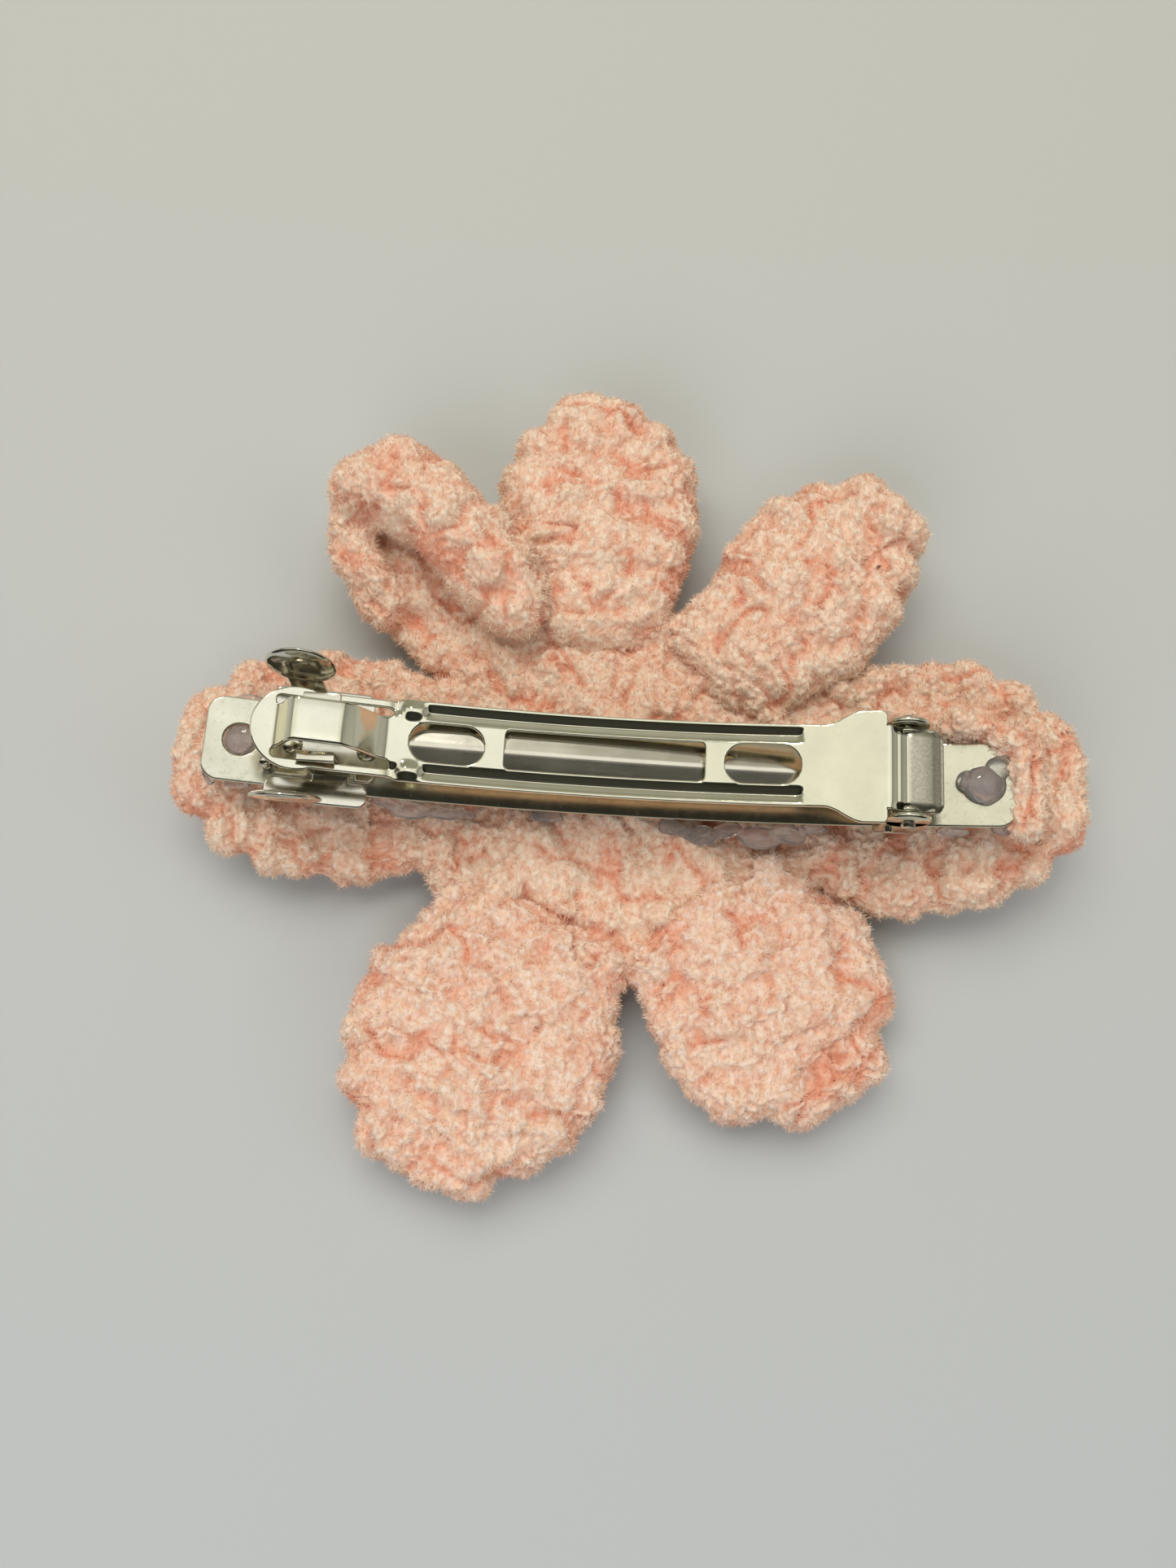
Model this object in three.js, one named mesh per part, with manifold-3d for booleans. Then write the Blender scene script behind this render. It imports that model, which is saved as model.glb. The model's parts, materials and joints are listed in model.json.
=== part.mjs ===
// Flower hair clip: an automatic barrette of stamped, nickel-plated steel, glued to the back of a crocheted
// flower. Millimetres, +Z up. The flower lies face down on the plane z = 0 with the clip on top of it, so +Z
// points at the wearer's head. +X runs along the clip from its latch to its hinge, and x = 0 is halfway along
// the base bar.
import * as THREE from "three";
import { mergeVertices } from "three/addons/utils/BufferGeometryUtils.js";
import Module from "manifold-3d";

const wasm = await Module();
wasm.setup();

// Base bar: the arched strip that the flower is glued to.
const BASE_LENGTH = 80;
const BASE_WIDTH = 8.6;
const BASE_SHEET = 0.6;
const BASE_ARCH_RADIUS = 150;
const BASE_CORNER = 1.8;
const PAD_HOLE_RADIUS = 1.6;
const PAD_HOLE_FROM_END = 3.3;

// Clasp arm: the bar that closes over the hair.
const ARM_WIDTH = 8.2;
const ARM_SHEET = 0.5;
const ARM_ARCH_RADIUS = 125;
const HAIR_GAP = 6.5; // mid-surface of the base bar to mid-surface of the arm, at x = 0
const GROOVE_DEPTH = 0.35;
const GROOVE_END_X = 17.8;
const WINDOW_WIDTH = 3.8;
const WINDOW_LENGTH = 19.5;
const WINDOW_CORNER = 0.6;
const OVAL_LENGTH = 7.3;
const OVAL_CENTRES_X = [-15.9, 14.7];
const SHOULDER_WIDTH = 11.1;
const SHOULDER_LENGTH = 2.4;
const SHOULDER_TAPER = 3.2;
const TONGUE_END_X = -34;

// Bridge: the raised strip at the latch end of the arm, between two slits that the prongs come up through.
const BRIDGE_START_X = -31.9;
const BRIDGE_LENGTH = 10.5;
const BRIDGE_RISE = 3.6;
const BRIDGE_WIDTH = 4.1;
const BRIDGE_WALL = 2.8;
const BRIDGE_RAMP = 4;
const SLIT_WIDTH = 1;

// Hinge: two ears on the base bar take the lugs of the arm and, lower down, those of the tension bar.
const HINGE_X = 28.6;
const HINGE_BELOW_ARM = 1.5;
const EAR_RADIUS = 2.2;
const EAR_SHEET = 0.6;
const LUG_RADIUS = 0.7;
const LUG_CLEARANCE = 0.15;
const LUG_STANDS_PROUD = 0.6;
const HEEL_LENGTH = 3.4;
const HEEL_ABOVE_HINGE = 0.95;
const HEEL_FLANGE_DEPTH = 0.8;
const HEEL_KNUCKLE_RADIUS = 1.3;
const HEEL_STEP = 1.3;
const SIDE_CLEARANCE = 0.25;

// Tension bar: the thin sprung strip under the arm.
const TENSION_WIDTH = 5.4;
const TENSION_SHEET = 0.35;
const TENSION_END_X = -20;
const TENSION_CREASE = 0.3;
const TENSION_SAG = 1;
const TENSION_BELOW_ARM = 0.9;
const TENSION_PIVOT_BACK = 1.3; // its pivot stands this far towards the latch from the arm's pivot
const TENSION_PIVOT_DOWN = 2.3;
const TENSION_BARREL_RADIUS = 0.7;
const TENSION_LUG_RADIUS = 0.45;

// Latch: a floor riveted to the base bar, and two sprung cheeks that are pinched together to let the arm go.
const LATCH_SHEET = 0.5;
const FLOOR_START_X = -34.2;
const FLOOR_END_X = -23.4;
const FLOOR_WIDTH = 6.4;
const FLOOR_NOTCH_WIDTH = 4;
const STACK_CLEARANCE = 0.1;
const CHEEK_START_X = -33.2;
const CHEEK_END_X = -24;
const CHEEK_LIFT = 0.35;
const CHEEK_INNER_Y = 3.45;
const CHEEK_OUTER_Y = 5.9;
const CHEEK_NECK_WIDTH = 3.4;
const THUMB_DISC_X = -30.4;
const THUMB_DISC_Y = 6.4;
const THUMB_DISC_RADIUS = 3.4;
const THUMB_DISC_SHEET = 0.6;
const THUMB_DISC_BELOW_ARM = 1;
const THUMB_DISC_LEAN = THREE.MathUtils.degToRad(8);
const PRONG_START_X = -29.4;
const PRONG_WIDTH = 3.6;
const PRONG_SIDE_CLEARANCE = 0.2;
const WEB_OVERLAP = 0.5; // how far a prong's web runs in under the wing it is part of
const PRONG_HOOK = 0.55;
const PRONG_HOOK_HEIGHT = 0.6;
const PRONG_HOOK_CLEARANCE = 0.25;
const RIVET_SHANK_RADIUS = 0.6;
const RIVET_HEAD_RADIUS = 1;
const RIVET_HEAD_HEIGHT = 0.35;
const RIVET_XS = [-31.5, -24.4];
const GUIDE_POST_RADIUS = 0.65;
const GUIDE_POST_HEIGHT = 3;
const GUIDE_POST_X = -33.3;

// Glue: a bed under the base bar, and what came up through its two holes.
const GLUE_THICKNESS = 0.8;
const GLUE_LENGTH = 78;
const GLUE_WIDTH = 9.8;
const GLUE_BLOB_RADIUS = 2.3;
const GLUE_BLOB_HEIGHT = 1.1;
const GLUE_PLUG_CLEARANCE = 0.2;
const GLUE_PLUG_PROUD = 0.4;

// Flower: a round hub and seven petals, crocheted in one thick chenille yarn.
const HUB_RADIUS = 21;
const HUB_THICKNESS = 8.5;
const HUB_FACE_RADIUS = 16;
const PETAL_GAP = 0.4;
const PETAL_STATIONS = 9;
const PETAL_SIDES = 12;
const PETAL_ROOT_RADIUS = 15;
const PETAL_WIDEST = 0.58; // share of the length from the root to the widest place
const PETAL_SQUARENESS = 0.75;
const UNDER_CLIP_GAP = 0.2;

// Petals, those that lie over a neighbour before that neighbour. heading is a petal's direction in plan, in
// degrees from +X, reach is how far its tip stands from the middle, rootZ and tipZ are the heights of its
// mid-surface, and roll turns its width about its length.
const PETALS = {
  petal_upper_left: {
    heading: 131.5,
    reach: 45,
    width: 18.5,
    rootWidth: 13,
    thickness: 10,
    rootZ: 5.6,
    tipZ: 11,
    roll: 12,
  },
  petal_upper_right: {
    heading: 47.5,
    reach: 45,
    width: 20.3,
    rootWidth: 15,
    thickness: 9,
    rootZ: 5.2,
    tipZ: 10.5,
    roll: -12,
  },
  petal_top: {
    heading: 95,
    reach: 45,
    width: 23,
    rootWidth: 15,
    thickness: 8,
    rootZ: 5,
    tipZ: 8.5,
  },
  petal_right: {
    heading: 3,
    reach: 50.4,
    width: 28.6,
    rootWidth: 19,
    thickness: 7,
    rootZ: 4.6,
    tipZ: 8.6,
  },
  petal_left: {
    heading: 179.5,
    reach: 45.6,
    width: 25.8,
    rootWidth: 19,
    thickness: 7,
    rootZ: 4.6,
    tipZ: 8.2,
  },
  petal_lower_left: {
    heading: 247.5,
    reach: 45.6,
    width: 28.6,
    rootWidth: 22,
    thickness: 8,
    rootZ: 4.8,
    tipZ: 5,
  },
  petal_lower_right: {
    heading: 309.5,
    reach: 41.7,
    width: 26.4,
    rootWidth: 20,
    thickness: 8,
    rootZ: 4.8,
    tipZ: 5,
  },
};

// Construction: the height of the prisms that cut plans out, and how finely the arches are stepped.
const CUT_HEIGHT = 60;
const ARCH_STATIONS = 36;
const ARCH_OVERRUN = 2;

const METAL = { color: 0xc9c5b4, metalness: 1, roughness: 0.12 };
const SPRING_METAL = { color: 0xa8a597, metalness: 1, roughness: 0.22 };
const CLEAR_GLUE = { color: 0xb9aeb0, metalness: 0, roughness: 0.15 };
const YARN = { color: 0xf3c4ae, metalness: 0, roughness: 0.95 };

const flower_clip = new THREE.Group();

// ---- Shared geometry ------------------------------------------------------------------------------------

function solidOf(geometry) {
  const bare = geometry.index ? geometry.toNonIndexed() : geometry.clone();
  bare.deleteAttribute("normal");
  bare.deleteAttribute("uv");
  const merged = mergeVertices(bare, 1e-4);
  return new wasm.Manifold(
    new wasm.Mesh({
      numProp: 3,
      vertProperties: merged.attributes.position.array,
      triVerts: new Uint32Array(merged.index.array),
    }),
  );
}

function addNode(name, solid, look) {
  const { vertProperties, triVerts } = solid.getMesh();
  const geometry = new THREE.BufferGeometry();
  geometry.setAttribute("position", new THREE.BufferAttribute(vertProperties, 3));
  geometry.setIndex(new THREE.BufferAttribute(triVerts, 1));
  geometry.computeVertexNormals();
  const mesh = new THREE.Mesh(geometry, new THREE.MeshStandardMaterial(look));
  mesh.name = name;
  flower_clip.add(mesh);
}

// Evenly spaced numbers from first to last.
function steps(first, last, count) {
  return Array.from({ length: count + 1 }, (_, i) => first + ((last - first) * i) / count);
}

// A sheet whose mid-surface is height(x, y) over the grid of xs and ys.
function sheet(height, xs, ys, thickness) {
  const points = [];
  const faces = [];
  const at = (i, j, top) => (i * ys.length + j) * 2 + top;
  for (const x of xs) {
    for (const y of ys) {
      points.push(x, y, height(x, y) - thickness / 2, x, y, height(x, y) + thickness / 2);
    }
  }
  const quad = (a, b, c, d) => faces.push(a, b, c, a, c, d);
  const lastX = xs.length - 1;
  const lastY = ys.length - 1;
  for (let i = 0; i < lastX; i++) {
    for (let j = 0; j < lastY; j++) {
      quad(at(i, j, 1), at(i + 1, j, 1), at(i + 1, j + 1, 1), at(i, j + 1, 1));
      quad(at(i, j, 0), at(i, j + 1, 0), at(i + 1, j + 1, 0), at(i + 1, j, 0));
    }
    quad(at(i, 0, 0), at(i + 1, 0, 0), at(i + 1, 0, 1), at(i, 0, 1));
    quad(at(i + 1, lastY, 0), at(i, lastY, 0), at(i, lastY, 1), at(i + 1, lastY, 1));
  }
  for (let j = 0; j < lastY; j++) {
    quad(at(0, j + 1, 0), at(0, j, 0), at(0, j, 1), at(0, j + 1, 1));
    quad(at(lastX, j, 0), at(lastX, j + 1, 0), at(lastX, j + 1, 1), at(lastX, j, 1));
  }
  const geometry = new THREE.BufferGeometry();
  geometry.setAttribute("position", new THREE.Float32BufferAttribute(points, 3));
  geometry.setIndex(faces);
  return solidOf(geometry);
}

// An upright prism of a plan outline, taller than the whole clip.
function planCut(shape, curveSegments = 8) {
  const settings = { depth: CUT_HEIGHT, bevelEnabled: false, curveSegments };
  const geometry = new THREE.ExtrudeGeometry(shape, settings);
  return solidOf(geometry.translate(0, 0, -CUT_HEIGHT / 2));
}

function box(x0, x1, y0, y1, z0, z1) {
  const geometry = new THREE.BoxGeometry(x1 - x0, y1 - y0, z1 - z0);
  return solidOf(geometry.translate((x0 + x1) / 2, (y0 + y1) / 2, (z0 + z1) / 2));
}

// A round bar along Y.
function crossBar(radius, x, z, y0, y1, sides = 16) {
  const geometry = new THREE.CylinderGeometry(radius, radius, y1 - y0, sides);
  return solidOf(geometry.translate(x, (y0 + y1) / 2, z));
}

// A round bar along Z.
function upright(radius, x, y, z0, z1, sides = 16) {
  const geometry = new THREE.CylinderGeometry(radius, radius, z1 - z0, sides).rotateX(Math.PI / 2);
  return solidOf(geometry.translate(x, y, (z0 + z1) / 2));
}

function roundedRectangle(x0, x1, y0, y1, radius, path = new THREE.Shape()) {
  path.moveTo(x0 + radius, y0);
  path.lineTo(x1 - radius, y0);
  path.absarc(x1 - radius, y0 + radius, radius, -Math.PI / 2, 0);
  path.absarc(x1 - radius, y1 - radius, radius, 0, Math.PI / 2);
  path.absarc(x0 + radius, y1 - radius, radius, Math.PI / 2, Math.PI);
  path.absarc(x0 + radius, y0 + radius, radius, Math.PI, 1.5 * Math.PI);
  return path;
}

function roundHole(x, radius) {
  return new THREE.Path().absarc(x, 0, radius, 0, 2 * Math.PI, true);
}

const archEnd = BASE_LENGTH / 2 + ARCH_OVERRUN;
const archXs = steps(-archEnd, archEnd, ARCH_STATIONS);

// Everything above a surface that runs along the arch.
function above(height) {
  return sheet((x) => height(x) + CUT_HEIGHT / 2, archXs, [-CUT_HEIGHT / 2, CUT_HEIGHT / 2], CUT_HEIGHT);
}

const arch = (x, radius) => radius - Math.sqrt(radius * radius - x * x);
const smooth = (t) => THREE.MathUtils.smoothstep(t, 0, 1);

// ---- Levels ---------------------------------------------------------------------------------------------

const BASE_Z = HUB_THICKNESS + GLUE_THICKNESS + 2 * STACK_CLEARANCE + BASE_SHEET / 2;
const baseMid = (x) => BASE_Z + arch(x, BASE_ARCH_RADIUS);
const baseTop = (x) => baseMid(x) + BASE_SHEET / 2;
const armMid = (x) => BASE_Z + HAIR_GAP + arch(x, ARM_ARCH_RADIUS);
const SHOULDER_END_X = HINGE_X - EAR_RADIUS - 0.1;
const HINGE_Z = armMid(SHOULDER_END_X) - HINGE_BELOW_ARM;
const TENSION_X = HINGE_X - TENSION_PIVOT_BACK;
const TENSION_Z = HINGE_Z - TENSION_PIVOT_DOWN;
const EAR_INNER_Y = BASE_WIDTH / 2 + 0.1;
const EAR_OUTER_Y = EAR_INNER_Y + EAR_SHEET;
const HEEL_OUTER_Y = EAR_INNER_Y - SIDE_CLEARANCE;
const LUG_END_Y = EAR_OUTER_Y + LUG_STANDS_PROUD;
const SIDES = { front: -1, back: 1 };

// ---- Base bar: one stamping, with a hole in each end pad and two ears folded up at the hinge ------------

function baseBar() {
  const half = BASE_WIDTH / 2;
  const end = BASE_LENGTH / 2;
  const outline = roundedRectangle(-end, end, -half, half, BASE_CORNER);
  for (const x of [-end + PAD_HOLE_FROM_END, end - PAD_HOLE_FROM_END]) {
    outline.holes.push(roundHole(x, PAD_HOLE_RADIUS));
  }
  for (const x of RIVET_XS) {
    outline.holes.push(roundHole(x, RIVET_SHANK_RADIUS + LUG_CLEARANCE));
  }
  const strip = (width) => sheet(baseMid, archXs, [-width, width], BASE_SHEET);
  const [ear0, ear1] = [HINGE_X - EAR_RADIUS, HINGE_X + EAR_RADIUS];
  const earRoots = box(ear0, ear1, -EAR_OUTER_Y, EAR_OUTER_Y, -CUT_HEIGHT, CUT_HEIGHT);
  let bar = strip(half + 1).intersect(planCut(outline)).add(strip(EAR_OUTER_Y).intersect(earRoots));
  for (const side of Object.values(SIDES)) {
    const [y0, y1] = [side * EAR_INNER_Y, side * EAR_OUTER_Y].sort((a, b) => a - b);
    const root = box(ear0, ear1, y0, y1, 0, HINGE_Z);
    bar = bar.add(root.intersect(above(baseMid)));
    bar = bar.add(crossBar(EAR_RADIUS, HINGE_X, HINGE_Z, y0, y1, 24));
  }
  const reach = EAR_OUTER_Y + 1;
  bar = bar.subtract(crossBar(LUG_RADIUS + LUG_CLEARANCE, HINGE_X, HINGE_Z, -reach, reach));
  return bar.subtract(crossBar(TENSION_LUG_RADIUS + LUG_CLEARANCE, TENSION_X, TENSION_Z, -reach, reach));
}

// ---- Clasp arm: one stamping, with its tongue, bridge, grooves, windows, shoulder and hinge heel -----------

const BRIDGE_END_X = BRIDGE_START_X + BRIDGE_LENGTH;
const SLIT_INNER_Y = BRIDGE_WIDTH / 2;
const SLIT_OUTER_Y = SLIT_INNER_Y + SLIT_WIDTH;
const GROOVE_Y = (WINDOW_WIDTH + ARM_WIDTH) / 4;
const HEEL_PLATE_Z = HINGE_Z + HEEL_ABOVE_HINGE;

function bridgeRise(x) {
  const up = smooth((x - BRIDGE_START_X) / BRIDGE_WALL);
  const down = smooth((BRIDGE_END_X - x) / BRIDGE_RAMP);
  return BRIDGE_RISE * Math.min(up, down);
}

function armHeight(x, y) {
  const grooveHalf = (ARM_WIDTH - WINDOW_WIDTH) / 4;
  const groove = GROOVE_DEPTH * Math.max(0, 1 - Math.abs(Math.abs(y) - GROOVE_Y) / grooveHalf);
  const fade = smooth((GROOVE_END_X - Math.abs(x)) / 1);
  const bridge = Math.abs(y) < (SLIT_INNER_Y + SLIT_OUTER_Y) / 2 ? bridgeRise(x) : 0;
  const heel = smooth((x - SHOULDER_END_X) / HEEL_STEP);
  return THREE.MathUtils.lerp(armMid(x) - groove * fade + bridge, HEEL_PLATE_Z, heel);
}

function armOutline() {
  const half = ARM_WIDTH / 2;
  const wide = SHOULDER_WIDTH / 2;
  const taper = SHOULDER_END_X - SHOULDER_LENGTH - SHOULDER_TAPER;
  const heelEnd = HINGE_X + HEEL_LENGTH;
  const outline = new THREE.Shape();
  const tongueX = TONGUE_END_X + half;
  outline.moveTo(tongueX, -half);
  outline.lineTo(taper, -half);
  outline.bezierCurveTo(taper + 1.4, -half, taper + 1.4, -wide, SHOULDER_END_X - SHOULDER_LENGTH, -wide);
  outline.lineTo(SHOULDER_END_X, -wide);
  outline.lineTo(SHOULDER_END_X, -HEEL_OUTER_Y);
  outline.lineTo(heelEnd - 1, -HEEL_OUTER_Y);
  outline.absarc(heelEnd - 1, 1 - HEEL_OUTER_Y, 1, -Math.PI / 2, 0);
  outline.absarc(heelEnd - 1, HEEL_OUTER_Y - 1, 1, 0, Math.PI / 2);
  outline.lineTo(SHOULDER_END_X, HEEL_OUTER_Y);
  outline.lineTo(SHOULDER_END_X, wide);
  outline.lineTo(SHOULDER_END_X - SHOULDER_LENGTH, wide);
  outline.bezierCurveTo(taper + 1.4, wide, taper + 1.4, half, taper, half);
  outline.lineTo(tongueX, half);
  outline.absarc(tongueX, 0, half, Math.PI / 2, 1.5 * Math.PI);
  return outline;
}

function armWindows() {
  const half = WINDOW_WIDTH / 2;
  const middle = WINDOW_LENGTH / 2;
  const windows = [roundedRectangle(-middle - 0.6, middle - 0.6, -half, half, WINDOW_CORNER)];
  for (const x of OVAL_CENTRES_X) {
    windows.push(roundedRectangle(x - OVAL_LENGTH / 2, x + OVAL_LENGTH / 2, -half, half, half - 0.01));
  }
  for (const side of Object.values(SIDES)) {
    const [y0, y1] = [side * SLIT_INNER_Y, side * SLIT_OUTER_Y].sort((a, b) => a - b);
    windows.push(roundedRectangle(BRIDGE_START_X, BRIDGE_END_X + 0.2, y0, y1, 0.3));
  }
  return windows;
}

function claspArm() {
  const xs = [
    ...steps(TONGUE_END_X - 1, BRIDGE_START_X - 0.3, 2),
    ...steps(BRIDGE_START_X, BRIDGE_START_X + BRIDGE_WALL, 4),
    ...steps(BRIDGE_END_X - BRIDGE_RAMP, BRIDGE_END_X, 4),
    -GROOVE_END_X,
    ...steps(1 - GROOVE_END_X, GROOVE_END_X - 1, 12),
    GROOVE_END_X,
    ...steps(GROOVE_END_X + 2, SHOULDER_END_X, 3),
    ...steps(SHOULDER_END_X + HEEL_STEP / 3, SHOULDER_END_X + HEEL_STEP, 2),
    HINGE_X + HEEL_LENGTH + 1,
  ];
  const halfYs = [WINDOW_WIDTH / 2, SLIT_INNER_Y, GROOVE_Y, SLIT_OUTER_Y, ARM_WIDTH / 2, SHOULDER_WIDTH / 2 + 1];
  const ys = [...halfYs.map((y) => -y).reverse(), ...halfYs];
  let arm = sheet(armHeight, xs, ys, ARM_SHEET).intersect(planCut(armOutline()));
  for (const window of armWindows()) {
    arm = arm.subtract(planCut(window, 5));
  }
  const plateBottom = HEEL_PLATE_Z - ARM_SHEET / 2;
  const flangeStart = SHOULDER_END_X + HEEL_STEP;
  const flangeEnd = HINGE_X + HEEL_LENGTH - 1;
  for (const side of Object.values(SIDES)) {
    const [y0, y1] = [side * (HEEL_OUTER_Y - ARM_SHEET), side * HEEL_OUTER_Y].sort((a, b) => a - b);
    const [lug0, lug1] = [side * (HEEL_OUTER_Y - ARM_SHEET), side * LUG_END_Y].sort((a, b) => a - b);
    arm = arm.add(box(flangeStart, flangeEnd, y0, y1, plateBottom - HEEL_FLANGE_DEPTH, HEEL_PLATE_Z));
    arm = arm.add(crossBar(HEEL_KNUCKLE_RADIUS, HINGE_X, HINGE_Z, y0, y1, 20));
    arm = arm.add(crossBar(LUG_RADIUS, HINGE_X, HINGE_Z, lug0, lug1));
  }
  return arm;
}

// ---- Tension bar: a thin creased strip, its tail rolled into a barrel with a lug at each end ------------

function tensionBar() {
  const start = new THREE.Vector2(TENSION_END_X, armMid(TENSION_END_X) - TENSION_BELOW_ARM);
  const finish = new THREE.Vector2(TENSION_X, TENSION_Z + TENSION_BARREL_RADIUS - TENSION_SHEET / 2);
  const height = (x, y) => {
    const t = (x - start.x) / (finish.x - start.x);
    const chord = THREE.MathUtils.lerp(start.y, finish.y, t);
    const crease = (TENSION_CREASE * Math.abs(y)) / (TENSION_WIDTH / 2);
    return chord - TENSION_SAG * 4 * t * (1 - t) - crease * smooth((1 - t) * 8);
  };
  const half = TENSION_WIDTH / 2;
  const strip = sheet(height, steps(start.x, finish.x, 20), [-half, 0, half], TENSION_SHEET);
  const plan = roundedRectangle(start.x, finish.x + half, -half, half, half - 0.01);
  const barrelHalf = HEEL_OUTER_Y - ARM_SHEET - SIDE_CLEARANCE;
  return strip
    .intersect(planCut(plan))
    .add(crossBar(TENSION_BARREL_RADIUS, TENSION_X, TENSION_Z, -barrelHalf, barrelHalf))
    .add(crossBar(TENSION_LUG_RADIUS, TENSION_X, TENSION_Z, -LUG_END_Y, LUG_END_Y, 12));
}

// ---- Latch ----------------------------------------------------------------------------------------------

const floorMid = (x) => baseTop(x) + STACK_CLEARANCE + LATCH_SHEET / 2;
const cheekMid = (x) => baseTop(x) + CHEEK_LIFT + LATCH_SHEET / 2;

// The floor of the latch, notched on both sides for the roots of the prongs, with two guide posts under the
// tongue.
function latchFloor() {
  const half = FLOOR_WIDTH / 2;
  const plan = roundedRectangle(FLOOR_START_X, FLOOR_END_X, -half, half, 0.8);
  for (const x of RIVET_XS) {
    plan.holes.push(roundHole(x, RIVET_SHANK_RADIUS + LUG_CLEARANCE));
  }
  let floor = sheet(floorMid, steps(FLOOR_START_X, FLOOR_END_X, 5), [-half, half], LATCH_SHEET);
  floor = floor.intersect(planCut(plan));
  for (const side of Object.values(SIDES)) {
    const [y0, y1] = [(side * FLOOR_NOTCH_WIDTH) / 2, side * (half + 1)].sort((a, b) => a - b);
    const notchEnd = PRONG_START_X + PRONG_WIDTH + 0.3;
    floor = floor.subtract(box(PRONG_START_X - 0.3, notchEnd, y0, y1, -CUT_HEIGHT, CUT_HEIGHT));
    const postY = side * (half - GUIDE_POST_RADIUS);
    const root = floorMid(GUIDE_POST_X);
    floor = floor.add(upright(GUIDE_POST_RADIUS, GUIDE_POST_X, postY, root, root + GUIDE_POST_HEIGHT, 12));
  }
  return floor;
}

// One cheek: a wing beside the floor, a neck that carries the thumb disc, and a hooked prong that holds the
// arm down.
function latchCheek(side) {
  const ordered = (a, b) => [side * a, side * b].sort((p, q) => p - q);
  const wingXs = steps(CHEEK_START_X, CHEEK_END_X, 4);
  const wing = sheet(cheekMid, wingXs, ordered(CHEEK_INNER_Y, CHEEK_OUTER_Y), LATCH_SHEET);
  const discZ = armMid(THUMB_DISC_X) - THUMB_DISC_BELOW_ARM;
  const neckRoot = cheekMid(THUMB_DISC_X);
  const lean = -side * THUMB_DISC_LEAN;
  const neckGeometry = new THREE.BoxGeometry(CHEEK_NECK_WIDTH, LATCH_SHEET, discZ - neckRoot);
  neckGeometry.translate(0, 0, (neckRoot - discZ) / 2).rotateX(lean);
  const neck = solidOf(neckGeometry.translate(THUMB_DISC_X, side * THUMB_DISC_Y, discZ));
  const discGeometry = new THREE.CylinderGeometry(THUMB_DISC_RADIUS, THUMB_DISC_RADIUS, THUMB_DISC_SHEET, 28);
  const disc = solidOf(discGeometry.rotateX(lean).translate(THUMB_DISC_X, side * THUMB_DISC_Y, discZ));
  const prongEnd = PRONG_START_X + PRONG_WIDTH;
  const prongOuter = SLIT_OUTER_Y - PRONG_SIDE_CLEARANCE;
  const prongInner = prongOuter - LATCH_SHEET;
  const webYs = ordered(prongInner, CHEEK_INNER_Y + WEB_OVERLAP);
  const web = sheet(cheekMid, [PRONG_START_X, prongEnd], webYs, LATCH_SHEET);
  const hookBottom = armMid(PRONG_START_X) + ARM_SHEET / 2 + PRONG_HOOK_CLEARANCE;
  const hookTop = hookBottom + PRONG_HOOK_HEIGHT;
  const [prong0, prong1] = ordered(prongInner, prongOuter);
  const [hook0, hook1] = ordered(prongInner, prongOuter + PRONG_HOOK);
  const prong = box(PRONG_START_X, prongEnd, prong0, prong1, 0, hookTop).intersect(above(cheekMid));
  return wing
    .add(neck)
    .add(disc)
    .add(web)
    .add(prong)
    .add(box(PRONG_START_X, prongEnd, hook0, hook1, hookBottom, hookTop));
}

// A rivet through the base bar and the floor of the latch, with a head on each side.
function latchRivet(x) {
  const bottom = baseMid(x + RIVET_HEAD_RADIUS) - BASE_SHEET / 2 - STACK_CLEARANCE;
  const top = floorMid(x - RIVET_HEAD_RADIUS) + LATCH_SHEET / 2 + STACK_CLEARANCE;
  return upright(RIVET_SHANK_RADIUS, x, 0, bottom - RIVET_HEAD_HEIGHT / 2, top + RIVET_HEAD_HEIGHT)
    .add(upright(RIVET_HEAD_RADIUS, x, 0, top, top + RIVET_HEAD_HEIGHT, 20))
    .add(upright(RIVET_HEAD_RADIUS, x, 0, bottom - RIVET_HEAD_HEIGHT, bottom, 20));
}

// ---- Glue -----------------------------------------------------------------------------------------------

const glueTop = (x) => baseMid(x) - BASE_SHEET / 2 - STACK_CLEARANCE;

function glueBed() {
  const end = GLUE_LENGTH / 2;
  const half = GLUE_WIDTH / 2;
  const mid = (x) => glueTop(x) - GLUE_THICKNESS / 2;
  let bed = sheet(mid, archXs, [-half - 1, half + 1], GLUE_THICKNESS);
  bed = bed.intersect(planCut(roundedRectangle(-end, end, -half, half, 3)));
  const room = RIVET_HEAD_RADIUS + LUG_CLEARANCE;
  for (const x of RIVET_XS) {
    const recess = glueTop(x + RIVET_HEAD_RADIUS) - RIVET_HEAD_HEIGHT - STACK_CLEARANCE;
    bed = bed.subtract(upright(room, x, 0, recess, CUT_HEIGHT));
  }
  return bed;
}

function gluePlug(x, standsProud) {
  const radius = PAD_HOLE_RADIUS - GLUE_PLUG_CLEARANCE;
  return upright(radius, x, 0, glueTop(Math.abs(x) + radius) + STACK_CLEARANCE, baseTop(x) + standsProud);
}

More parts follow.
